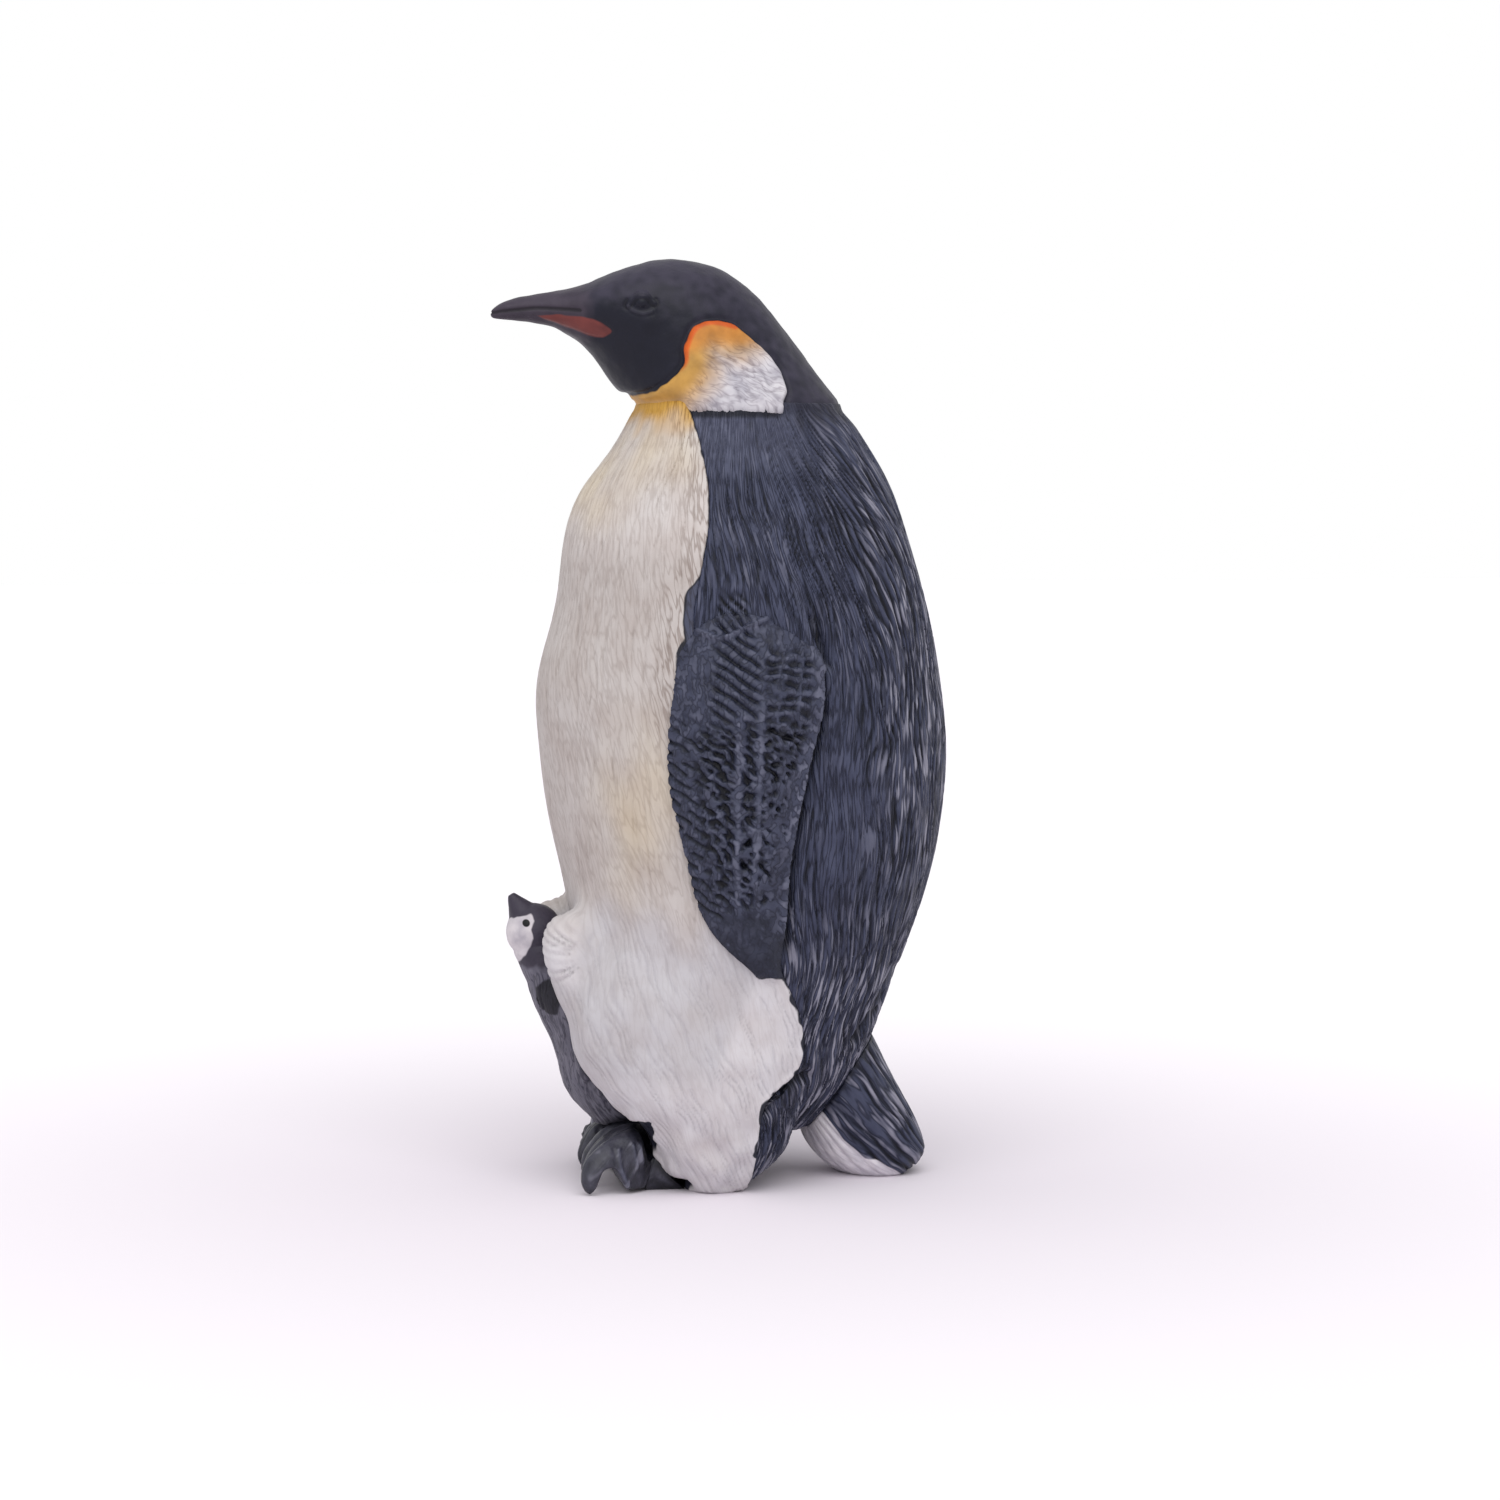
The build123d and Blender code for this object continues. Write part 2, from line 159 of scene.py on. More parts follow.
def bentLine(points, steps=6):  # the points joined by a smooth curve
    ends = [points[0]] + list(points) + [points[-1]]
    line = []
    for a, b, c, d in zip(ends, ends[1:], ends[2:], ends[3:]):
        for step in range(steps):
            t = step / steps
            weights = (-t + 2 * t**2 - t**3, 2 - 5 * t**2 + 3 * t**3, t + 4 * t**2 - 3 * t**3, t**3 - t**2)
            line.append(tuple(sum(w * p[i] for w, p in zip(weights, (a, b, c, d))) / 2 for i in (0, 1)))
    return line + [tuple(points[-1])]


def lineGap(y, z, line):  # distance to a line in the side view
    best = np.full(len(y), np.inf)
    for (ay, az), (by, bz) in zip(line, line[1:]):
        dy, dz = by - ay, bz - az
        if dy == dz == 0:
            continue
        t = np.clip(((y - ay) * dy + (z - az) * dz) / (dy * dy + dz * dz), 0, 1)
        best = np.minimum(best, np.hypot(y - ay - t * dy, z - az - t * dz))
    return best


def curveHump(y, z, points, width):  # ridge or groove along a smooth curve
    return hump(lineGap(y, z, bentLine(points)), width)


def insideGap(y, z, outline):  # distance to a closed outline, negative outside
    inside = np.zeros(len(y), bool)
    ring = list(outline) + [outline[0]]
    for (ay, az), (by, bz) in zip(ring, ring[1:]):
        if az == bz:
            continue
        crosses = (az > z) != (bz > z)
        inside ^= crosses & (y < ay + (z - az) / (bz - az) * (by - ay))
    return np.where(inside, 1, -1) * lineGap(y, z, ring)


def gapTo(points, nodes, reach=nearReach):  # how far each place is from those CAD nodes, up to a reach
    corners, faces = [], []
    for node in nodes:
        mesh = frame["nodes"][node].data
        start = len(corners)
        corners += [v.co.copy() for v in mesh.vertices]
        faces += [[start + i for i in f.vertices] for f in mesh.polygons]
    tree = BVHTree.FromPolygons(corners, faces)
    gaps = np.full(len(points), float(reach))
    for i, place in enumerate((points * mm).tolist()):
        found = tree.find_nearest(Vector(place), reach * mm)[3]
        if found is not None:
            gaps[i] = found / mm
    return gaps


def setMode(mode):
    bpy.ops.object.mode_set(mode=mode)


def makeActive(piece):
    bpy.ops.object.select_all(action="DESELECT")
    piece.select_set(True)
    bpy.context.view_layer.objects.active = piece


def places(piece):  # corners in millimetres, whose columns x, y and z stay views, and normals
    flat = np.empty(len(piece.data.vertices) * 3, np.float32)
    piece.data.vertices.foreach_get("co", flat)
    points = flat.reshape(-1, 3).astype(float) / mm
    piece.data.vertex_normals.foreach_get("vector", flat)
    return points, flat.reshape(-1, 3).astype(float)


def thinInside(piece, coverNodes):  # faces that lie against other pieces are never seen and stay coarse
    setMode("EDIT")
    bpy.ops.mesh.select_mode(type="VERT")
    bpy.ops.mesh.select_all(action="DESELECT")
    setMode("OBJECT")
    covered = gapTo(places(piece)[0], coverNodes, hidden["reach"]) < hidden["gap"]
    piece.data.vertices.foreach_set("select", covered)
    setMode("EDIT")
    bpy.ops.mesh.select_mode(type="VERT")
    for ring in range(hidden["margin"]):
        bpy.ops.mesh.select_less()
    bpy.ops.mesh.decimate(ratio=hidden["keep"])
    setMode("OBJECT")


def nodeCopy(node, name, cell, coverNodes, stretch=1.0):
    # merged copy of a CAD node, rebuilt in even cells that are stretch times as tall as wide
    piece = bpy.data.objects.new(name, frame["nodes"][node].data.copy())
    bpy.context.scene.collection.objects.link(piece)
    piece.data.materials.clear()
    makeActive(piece)
    setMode("EDIT")
    bpy.ops.mesh.select_all(action="SELECT")
    bpy.ops.mesh.remove_doubles(threshold=rebuild["merge"] * mm)
    bpy.ops.transform.resize(value=(1, 1, 1 / stretch), center_override=(0, 0, 0))
    setMode("OBJECT")
    cells = piece.modifiers.new("cells", "REMESH")
    cells.mode = "VOXEL"
    cells.voxel_size = cell * mm
    bpy.ops.object.modifier_apply(modifier="cells")
    setMode("EDIT")
    bpy.ops.mesh.select_all(action="SELECT")
    bpy.ops.transform.resize(value=(1, 1, stretch), center_override=(0, 0, 0))
    setMode("OBJECT")
    soften = piece.modifiers.new("soften", "SMOOTH")
    soften.factor = rebuild["softness"]
    soften.iterations = rebuild["rounds"]
    bpy.ops.object.modifier_apply(modifier="soften")
    thinInside(piece, coverNodes)
    bpy.ops.object.shade_smooth()
    print("rebuilt", name, len(piece.data.polygons), "faces")
    return piece


def sculpt(piece, points, normals, lift):  # moves each corner along its normal
    moved = (points + normals * lift[:, None]) * mm
    piece.data.vertices.foreach_set("co", moved.astype(np.float32).ravel())
    piece.data.update()


def keepMasks(piece, **masks):
    for name, values in masks.items():
        mask = piece.data.attributes.new(name, "FLOAT", "POINT")
        mask.data.foreach_set("value", values.astype(np.float32))


paint = dict(
    grainDetail=3, hairDetail=1.5,
    cutEdges=(0.43, 0.49, 0.51, 0.57),  # noise levels where a hair stroke starts, is full, and ends
    ridges={"From Min": 0.5, "From Max": 0.66}, mottleRange=(0.3, 0.65),
    gloss={"From Min": 0.3, "From Max": 0.7}, glossSpread=0.07,
    strokeHeight=0.1, ior=1.5,
)


def paintedVinyl(name, finish):
    # Moulded vinyl under thin acrylic: a tone for each depth of the relief, dry-brushed ridges, which on the
    # coat also carry a painted rim light, layers of paint, each given as mask, start, end, share and tone,
    # then hair strokes and a soft mottle
    material = bpy.data.materials.new(name)
    material.use_nodes = True
    tree = material.node_tree
    tree.nodes.clear()
    names = ["relief", "across", "along", "hairy", "dust"] + [layer[0] for layer in finish["layers"]]
    masks = {mask: addNode(tree, "ShaderNodeAttribute", out="Fac", attribute_name=mask) for mask in names}
    where = addNode(tree, "ShaderNodeTexCoord", out="Object")
    grit, cloud = [addNode(tree, "ShaderNodeTexNoise", {
        "Vector": where, "Scale": 1 / (finish[grain] * mm), "Detail": paint["grainDetail"]})
        for grain in ("grit", "cloud")]
    flow = addNode(tree, "ShaderNodeCombineXYZ", {"X": masks["across"], "Y": masks["along"]})
    combedFlow = addNode(tree, "ShaderNodeMapping", {
        "Vector": flow, "Scale": (1 / finish["hairPitch"], 1 / finish["hairLength"], 1)})
    hairs = addNode(tree, "ShaderNodeTexNoise", {
        "Vector": combedFlow, "Scale": 1.0, "Detail": paint["hairDetail"]})
    cutTones = ("#ffffff", finish["hairTone"], finish["hairTone"], "#ffffff")
    cuts = addNode(tree, "ShaderNodeValToRGB", {"Fac": hairs}, list(zip(paint["cutEdges"], cutTones)))
    ridges = addNode(tree, "ShaderNodeMapRange", {"Value": hairs, **paint["ridges"]})
    tone = addNode(tree, "ShaderNodeValToRGB", {"Fac": masks["relief"]}, finish["ramp"])
    brushed = addNode(tree, "ShaderNodeMath", {0: ridges, 1: masks["dust"]},
                      operation="MULTIPLY", use_clamp=True)
    coats = [(brushed, colour(finish["dustTone"]), "MIX")]
    for mask, start, end, share, over in finish["layers"]:
        cover = addNode(tree, "ShaderNodeMapRange", {
            "Value": masks[mask], "From Min": start, "From Max": end, "To Max": share},
            interpolation_type="SMOOTHSTEP")
        coats.append((cover, colour(over), "MIX"))
    mottleTones = (finish["cloudTone"], "#ffffff")
    mottle = addNode(tree, "ShaderNodeValToRGB", {"Fac": cloud}, list(zip(paint["mottleRange"], mottleTones)))
    coats += [(masks["hairy"], cuts, "MULTIPLY"), (1.0, mottle, "MULTIPLY")]
    for share, over, blend in coats:
        tone = addNode(tree, "ShaderNodeMix", {
            "Factor": share, 6: tone, 7: over}, out=2, data_type="RGBA", blend_type=blend)
    rough = addNode(tree, "ShaderNodeMapRange", {
        "Value": cloud, **paint["gloss"], "To Min": finish["roughness"] - paint["glossSpread"],
        "To Max": finish["roughness"] + paint["glossSpread"]})
    height = addNode(tree, "ShaderNodeMix", {
        "Factor": masks["hairy"], 6: grit, 7: cuts}, out=2, data_type="RGBA")
    bump = addNode(tree, "ShaderNodeBump", {
        "Height": height, "Strength": finish["bump"], "Distance": paint["strokeHeight"] * mm})
    shader = addNode(tree, "ShaderNodeBsdfPrincipled", {
        "Base Color": tone, "Roughness": rough, "IOR": paint["ior"], "Normal": bump,
        "Specular IOR Level": finish["specular"]})
    addNode(tree, "ShaderNodeOutputMaterial", {"Surface": shader})
    return material


def finishPiece(piece, node, material):
    piece.data.materials.append(material)
    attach(piece, "root")
    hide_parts(node)
    print("finished", piece.name)


# Belly half: chest, belly, feathered legs and the two rolls of the brood fold

neck = dict(rimGap=(0.1, 0.6), reach=1.0, overlap=0.4, level=(74.0, 75.0))

belly = dict(
    cell=0.195, cellStretch=1.8,
    thighs=((13, 17), (29, 33)), thighClear=(0.3, 1.2), thighSteps=4, thighRounds=260,
    chest=(0.74, 4.6, 0.09, 1), chestSway=(0.8, 0.5, 12, 3),
    hair=(0.43, 2.4, 0.05, 5), hairSlant=0.1, paintSlant=0.25,
    fur=(0.62, 3.2, 0.12, 13), furSlant=0.45,
    skirtTop=(22, 31), skirtRagged=(2.5, 0.25, 5, 15),
    tuftSize=2, tuftSquash=0.7, tuftLift=0.4, skirtTufts=0.2, hemTop=(4, 10),
    rollHub=(-13.4, 23.4), rollReach=(6, 4.9), rollFade=(0.6, 1.05),
    rollRear=(-16.2, -13.8), rollInner=(2.1, 2.6),
    ribs=(1, 5, 0.32, 9), ribRadius=4.4, ribSlant=0.3,
    seamLift=0.1,
    instep=((-17, 8.6), (-12.7, 7.7), (-10.8, 7), (-8.5, 7.2), (-7.9, 4.4), (-7.1, 2),
            (-4.4, 0.7), (-4.2, -1), (-17, -1)),  # where the skirt leaves the foot bare
    instepDepth=0.8, instepFade=(-0.15, 0.25), instepRagged=(0.35, 0.9, 1.6),
    shoulder=((-3.1, 63.1), (-3.4, 60.8), (-4.5, 58.9), (-5.3, 58), (-5.6, 56.1), (-5.7, 54.9),
              (-5.5, 52.8), (-6.3, 50.5)),  # where the dark coat laps over the chest
    shoulderRear=[(3, 50.5), (3, 63.1)], lapFade=(0.1, -0.2), lapFoot=(44, 50),
    throatTop=75.8, throatDepth=3.4, throatRagged=(0.3, 1.5, 3),
    creamSpots=((-13.1, 67.8, 3.5, 4.5), (-6.4, 71.5, 4, 4), (-9.6, 37.5, 4.4, 10)),
    creamPatch=(0.5, 3, 6),
    slateReach=4, edgeRagged=(1, 0.7, 0.9), edgeLow=(18, 27),
    edgeTufts=(0.6, 1.7), edgeTuftsTop=(18, 23),  # the border breaks up on the thigh
    fringe=(0.6, 3.2), fringeFoot=(40, 50),
    # the white is greyer over the middle heights
    wash=((21, 36), (58, 66)),
    shadeFoot=(8, 15), shadeFront=-3, shadeSlope=2.5,
)


def softenThighs(piece, neighbours):  # the legs flow into the body without a crease
    points = places(piece)[0]
    weights = band(points[:, 2], *belly["thighs"])
    weights = weights * ease(*belly["thighClear"], gapTo(points, neighbours))
    group = piece.vertex_groups.new(name="thighs")
    steps = belly["thighSteps"]
    for step in range(1, steps + 1):
        picked = np.flatnonzero(np.abs(weights - step / steps) <= 0.5 / steps)
        group.add(picked.tolist(), step / steps, "REPLACE")
    soften = piece.modifiers.new("thighs", "SMOOTH")
    soften.factor = rebuild["softness"]
    soften.iterations = belly["thighRounds"]
    soften.vertex_group = "thighs"
    makeActive(piece)
    bpy.ops.object.modifier_apply(modifier="thighs")
    piece.vertex_groups.clear()


def closeNeck(points, nodes, way):  # rims at the neck run into each other, so no groove is left
    rim = drop(*neck["rimGap"], gapTo(points, nodes, neck["reach"]))
    points[:, 2] += way * neck["overlap"] * rim * ease(*neck["level"], points[:, 2])


def makeBelly():
    neighbours = ["back_half", *flipperNodes, "left_foot", "right_foot", "chick"]
    piece = nodeCopy("belly_half", "bellyHalf", belly["cell"], neighbours + ["head"], belly["cellStretch"])
    softenThighs(piece, neighbours)
    points, normals = places(piece)
    closeNeck(points, ["head"], 1)
    x, y, z = points.T
    turn = np.arctan2(x, bodyAxisY - y)
    across = turn * coatRadius + ruffle(turn, z, *belly["chestSway"])
    chest, chestCut = combed(across, z, *belly["chest"])
    hair, hairCut = combed(across + belly["hairSlant"] * z, z, *belly["hair"])
    fur, furCut = combed(np.abs(turn) * coatRadius + belly["furSlant"] * z, z, *belly["fur"])
    skirt = drop(*belly["skirtTop"], z + ruffle(turn, z, *belly["skirtRagged"]))
    hubY, hubZ = belly["rollHub"]
    wide, tall = belly["rollReach"]
    roll = drop(*belly["rollFade"], np.hypot((y - hubY) / wide, (z - hubZ) / tall))
    roll *= drop(*belly["rollRear"], y) * ease(*belly["rollInner"], np.abs(x))
    fan = np.arctan2(z - hubZ, hubY - y) * belly["ribRadius"]
    ribs, ribCut = combed(fan + belly["ribSlant"] * x, y, *belly["ribs"])
    size = belly["tuftSize"]
    tufts = noiseAt(x / size, y / size, belly["tuftSquash"] * z / size)
    instep = insideGap(y, z, belly["instep"]) + speckle(points, *belly["instepRagged"])
    free = ease(*seamFade, gapTo(points, neighbours))
    lift = (belly["skirtTufts"] * tufts - furCut) * skirt - (chestCut + hairCut) * (1 - skirt)
    lift = lift * (1 - roll) - ribCut * roll + tufts * belly["tuftLift"] * drop(*belly["hemTop"], z)
    lift = lift * free + belly["seamLift"] * (1 - free)
    lift -= belly["instepDepth"] * ease(*belly["instepFade"], instep)
    sculpt(piece, points, normals, lift * band(z, *carved))
    relief = (0.55 * chest + 0.45 * hair) * (1 - skirt) + (0.5 + 0.5 * fur) * skirt
    relief = relief * (1 - roll) + (0.9 * ribs - 0.1) * roll
    cream = sum(spot(y, z, *place) for place in belly["creamSpots"])
    throat = (z - belly["throatTop"]) / belly["throatDepth"] + 1
    slate = gapTo(points, ["back_half", *flipperNodes], belly["slateReach"])
    slate = np.minimum(slate, -insideGap(y, z, bentLine(belly["shoulder"]) + belly["shoulderRear"]))
    edge = speckle(points, *belly["edgeRagged"]) * (0.1 + 0.25 * drop(*belly["edgeLow"], z))
    edge += speckle(points, *belly["edgeTufts"]) * drop(*belly["edgeTuftsTop"], z)
    fringe = drop(*belly["fringe"], slate) * ease(*belly["fringeFoot"], z)
    lap = ease(*belly["lapFade"], slate) * (0.4 * chest + 0.6 * hair) * ease(*belly["lapFoot"], z)
    shade = ease(*belly["shadeFoot"], z - belly["shadeSlope"] * np.maximum(y - belly["shadeFront"], 0))
    keepMasks(piece, relief=relief, cream=cream * (0.9 + speckle(points, *belly["creamPatch"])),
              throat=throat + speckle(points, *belly["throatRagged"]), slate=slate - edge, skirt=skirt,
              instep=instep, strokes=lap, across=across + belly["paintSlant"] * z, along=z,
              wash=band(z, *belly["wash"]), shade=shade * skirt * (1 - roll),
              fur=(1 - fur) * skirt * (1 - roll),
              hairy=(0.35 - 0.2 * skirt + 0.6 * fringe) * (1 - 0.6 * roll), dust=np.zeros(len(z)))
    return piece


# Vinyl under warm white acrylic: matt and chalky, with a thin grey wash left in the strokes
whiteFinish = dict(
    ramp=[(0, "#a59d9a"), (0.45, "#bcb5b2"), (1, "#c6c0be")],
    layers=(
        ("wash", 0, 1, 0.4, "#a69f9b"),
        ("skirt", 0.2, 1, 0.9, "#cac7cb"),
        ("shade", 0, 1, 0.45, "#a3a1a6"),
        ("fur", 0.2, 1, 0.4, "#a6a3a9"),
        ("cream", 0.1, 1.2, 0.42, "#cfbd98"),
        ("throat", 0.05, 1, 0.95, "#c49634"),
        ("instep", -0.1, 0.15, 1, "#2a2c3a"),
        ("slate", 0.16, 0.02, 1, "#22242f"),
        ("strokes", 0.3, 0.95, 0.85, "#474b60"),
    ),
    grit=0.3, hairPitch=0.5, hairLength=3, hairTone="#c9c1bd", dustTone="#d8d3d0",
    cloud=4, cloudTone="#f1edeb", bump=0.35, roughness=0.6, specular=0.3,
)


# Flippers: a fan of bars at the shoulder, scaly rows below, slanted ticks along the front. The back
# half shares their relief. A zone runs from front to rear as shares of the chord, and from foot to top.

wing = dict(
    cell=0.12,
    # level, front edge and rear edge of the outline
    rows=((21.5, 1.34, 4), (25, -2.6, 3.55), (30, -5.1, 3.7), (36, -6.6, 4.5), (42, -7.53, 5.75),
          (47, -7.13, 7.1), (51.5, -6.52, 7.08), (54.8, -5.62, 5.04), (58.5, -3.84, 2.82)),
    sway=(0.3, 2.2, 2.2, 41), slope=(0.80, 0.60),
    crossLine=((-5.4, 54.9), (-4.8, 54.6), (-2.5, 53.8), (-0.2, 54.8), (2.7, 55.7)),
    crossLift=0.42, crossWidth=0.26, crossPaint=0.25, crossFade=(-0.2, 0.4), crossFront=(0.05, 0.15),
    upperBarPitch=0.85, lowerBarPitch=1, barDepth=0.3,
    upperZone=dict(front=(0.2, 0.3), rear=(0.5, 0.65), top=(57, 58.5)),
    lowerZone=dict(front=(0.2, 0.28), rear=(0.52, 0.6), foot=(45, 46.5)),
    veins=(((-0.9, 46.5), (-1.2, 42), (-1.2, 35.7), (-1.3, 31.5), (-0.9, 27.5)),
           ((1.2, 47.5), (0.9, 44.5), (0.7, 37), (0.5, 31.5), (0.8, 27.5))),
    veinLift=0.16, veinWidth=0.36, veinFoot=(27, 30),
    slots=(1, 1.05, 0.46, 47), slotGrain=(0.4, 0.5, 0.45, 49), slotFade=(-0.35, 0.2), slotDepth=0.36,
    slotZone=dict(front=(0.14, 0.24), rear=(0.88, 0.96), foot=(26.5, 30), top=(44.5, 46.5)),
    calmZone=dict(front=(0.62, 0.8), top=(40, 43)),  # fewer slots along the rear
    tickPitch=0.9, tickDepth=0.26, tickBreaks=(1, 1.2, 1.2, 45), tickFade=(0.1, 0.3),
    tickZone=dict(rear=(0.14, 0.24), foot=(25, 28), top=(44, 48)),
    dashPitch=1.12, dashDepth=0.3, dashSlope=0.15, dashGrain=(0.7, 0.9, 0.7, 43),
    rungs=(2.8, 4.9), rungWidth=0.25, rungLean=0.1, rungLevel=48,  # strips between the dashes
    dashZone=dict(front=(0.56, 0.64), rear=(0.9, 0.97), foot=(43, 44.5), top=(52, 53.5)),
    pits=((2.5, 42, 0.32), (2.5, 40.6, 0.3), (2.4, 39.3, 0.28), (0.4, 37.3, 0.34), (2, 38.2, 0.25),
          (1, 32.6, 0.42), (-0.6, 32.4, 0.3), (-0.2, 34.6, 0.3)), pitDepth=0.45,
    rimLift=0.3, rimWidth=0.05, rimBand=((24, 28), (52, 55)),
    rimPaint=0.035, rimPaintTop=53, grain=(0.05, 0.7),
    narrowRear=((25, 30, 36, 42, 47, 51), (0.4, 0.55, 0.7, 0.75, 0.2, 0)),  # levels, how far it moves in
    widerFront=((22, 25, 30, 36), (0.2, 0.5, 0.4, 0)),
    rearShare=(0.45, 1.05), frontShare=(0, 0.5),
    shoulderFoot=(57, 59), shoulderRear=(0.7, 0.95), sinkFoot=(53, 57), sinkGap=0.15,
    edgeGap=(0.1, 0.5), edgeTop=(51, 54), freeFoot=(53, 55), hollowFoot=(51, 53),
    tipTop=(21.5, 30.5), tipRagged=(5, 2, 2, 3), worn=(1, 0.5, 0.45, 6), wornFade=(0.3, 0.7),
    crestPatch=(0.8, 1.5, 1.5, 5), dustDepth=0.16,
)


def flipperChord(y, z):  # 0 at the front edge, 1 at the rear edge
    levels, fronts, rears = np.array(wing["rows"]).T
    front, rear = np.interp(z, levels, fronts), np.interp(z, levels, rears)
    return (y - front) / (rear - front)


def zone(chord, z, front=None, rear=None, foot=None, top=None):
    share = np.ones(len(z))
    for place, rise, fall in ((chord, front, rear), (z, foot, top)):
        if rise:
            share = share * ease(*rise, place)
        if fall:
            share = share * drop(*fall, place)
    return share


def flipperRelief(x, y, z):  # depth, chord, and where it is paler: paint worn on the ridges and a painted highlight along the rear rim
    chord = flipperChord(y, z)
    a, b = wing["slope"]
    sway = ruffle(y, z, *wing["sway"])
    upperBars = wave(a * y + b * z + sway, wing["upperBarPitch"])
    lowerBars = wave(b * y + a * z + sway, wing["lowerBarPitch"])
    ticks = wave(b * y + a * z + 2 * sway, wing["tickPitch"])
    ticks = np.maximum(ticks, ease(*wing["tickFade"], ruffle(y, z, *wing["tickBreaks"])))
    dashes = wave(wing["dashSlope"] * y + z + 2.5 * sway, wing["dashPitch"])
    dashes = np.clip(dashes + ruffle(y, z, *wing["dashGrain"]), 0, 1)
    for rung in wing["rungs"]:
        off = y - rung - wing["rungLean"] * (z - wing["rungLevel"]) - 1.5 * sway
        dashes = np.maximum(dashes, 0.8 * hump(off, wing["rungWidth"]))
    slots = ruffle(a * y - b * z, b * y + a * z, *wing["slots"]) + ruffle(y, z, *wing["slotGrain"])
    slots = ease(*wing["slotFade"], slots + 0.4 * zone(chord, z, **wing["calmZone"]))
    above = ease(*wing["crossFade"], z - np.interp(y, *np.array(wing["crossLine"]).T))
    upperZone, lowerZone, tickZone, dashZone, slotZone = [
        zone(chord, z, **wing[part + "Zone"]) for part in ("upper", "lower", "tick", "dash", "slot")]
    upperZone, lowerZone = upperZone * above, lowerZone * (1 - above)
    depth = (1 - upperBars) ** 3 * wing["barDepth"] * upperZone
    depth += (1 - lowerBars) ** 3 * wing["barDepth"] * lowerZone
    depth += (1 - ticks) ** 3 * wing["tickDepth"] * tickZone
    depth += (1 - dashes) ** 1.5 * wing["dashDepth"] * dashZone
    depth += (1 - slots) * wing["slotDepth"] * slotZone
    rails = np.zeros(len(y))
    for vein in wing["veins"]:
        strip = curveHump(y, z, vein, wing["veinWidth"]) * ease(*wing["veinFoot"], z)
        depth = depth * (1 - 0.95 * strip) - wing["veinLift"] * strip
        rails = np.maximum(rails, strip)
    crossFront = ease(*wing["crossFront"], chord)
    depth -= wing["crossLift"] * curveHump(y, z, wing["crossLine"], wing["crossWidth"]) * crossFront
    for pitY, pitZ, radius in wing["pits"]:
        depth += wing["pitDepth"] * hump(np.hypot(y - pitY, z - pitZ), radius)
    rim = hump(1 - chord, wing["rimWidth"]) * band(z, *wing["rimBand"])
    depth -= wing["rimLift"] * rim + speckle(np.stack((y, z, x), 1), *wing["grain"])
    crest = 1.5 * curveHump(y, z, wing["crossLine"], wing["crossPaint"]) * crossFront
    # painted highlight: a pale line along the rear rim
    crest += 0.9 * hump(1 - chord, wing["rimPaint"]) * (z < wing["rimPaintTop"])
    crest += 0.6 * (upperBars**2 * upperZone + lowerBars**2 * lowerZone + dashes**2 * dashZone)
    return depth, chord, crest + 0.4 * slots * slotZone + 0.5 * rails


# Back half: the dark coat from the nape down to the heels

back = dict(
    cell=0.205, cellStretch=1.8,
    strokes=(0.72, 4.6, 0.24, 21), fine=(0.45, 2.8, 0.1, 25), sway=(1.2, 7, 9),
    shag=(0.95, 3, 0.3, 29), shagSway=(1.1, 0.2, 4, 27), shagTop=(18, 31),
    shoulderFoot=58, shoulderBend=4, shoulderSlant=0.75, uprightTurn=(0.8, 1.7),
    sideTurn=(0.9, 1.5), collarFoot=(68, 74),
    calmSpot=(9.5, 39, 3.4, 13),  # smoother place behind each flipper
    # dry-brush on the ridges, made stronger behind and on the low back as a painted rim light
    dustTurn=(0.6, 1.2), dustRear=(0.2, 0.5), dustFoot=(24, 40), dustTop=(60, 68),
    dustPatch=(0.7, 2.5, 5), dustMost=1.5, dustDepth=0.16, paintDepth=0.24, shagPaint=0.2,
    wingRidge=((4.8, 58.8), (5.1, 57.3), (5.6, 55.4), (6.3, 53), (7.2, 50.9)),
    ridgeLift=0.45, wingWidth=0.6,
    wingHollow=((6.5, 55.4), (6.9, 53.9), (7.5, 52.6), (7.9, 51.3)), hollowDepth=0.75,
    folds=(((16.6, 20.8), (14.8, 17.8), (13.2, 15.4), (12.2, 14.4)),
           ((2.6, 8.4), (3.2, 10), (4.4, 10.7), (6.8, 11.3))),
    foldDepth=0.9, foldWidth=0.55, foldInner=2,
    undercutDepth=0.6, undercutWidth=0.5, undercutOffset=0.25, undercutFoot=(22, 25),
    undercutTop=53, flipperTop=(52, 55),
    barZone=dict(front=(0.1, 0.2), rear=(0.55, 0.7), foot=(54.5, 55.5), top=(58.5, 59.5)),
    rimDip=0.25, rimDipFoot=(73.5, 75.6), rimDipFront=(2, 6),  # the rim dips under the head
    napeFoot=72.5, napeHeight=3, napePatch=(0.6, 1.2, 2), napeFront=(2, 7),
    ledgeFoot=(74.1, 74.8), ledgeRear=(4, 6),  # painted shadow line under the ear patch
    wornFoot=(66, 72), wornRear=(5, 9), calmHair=(67, 72),
)


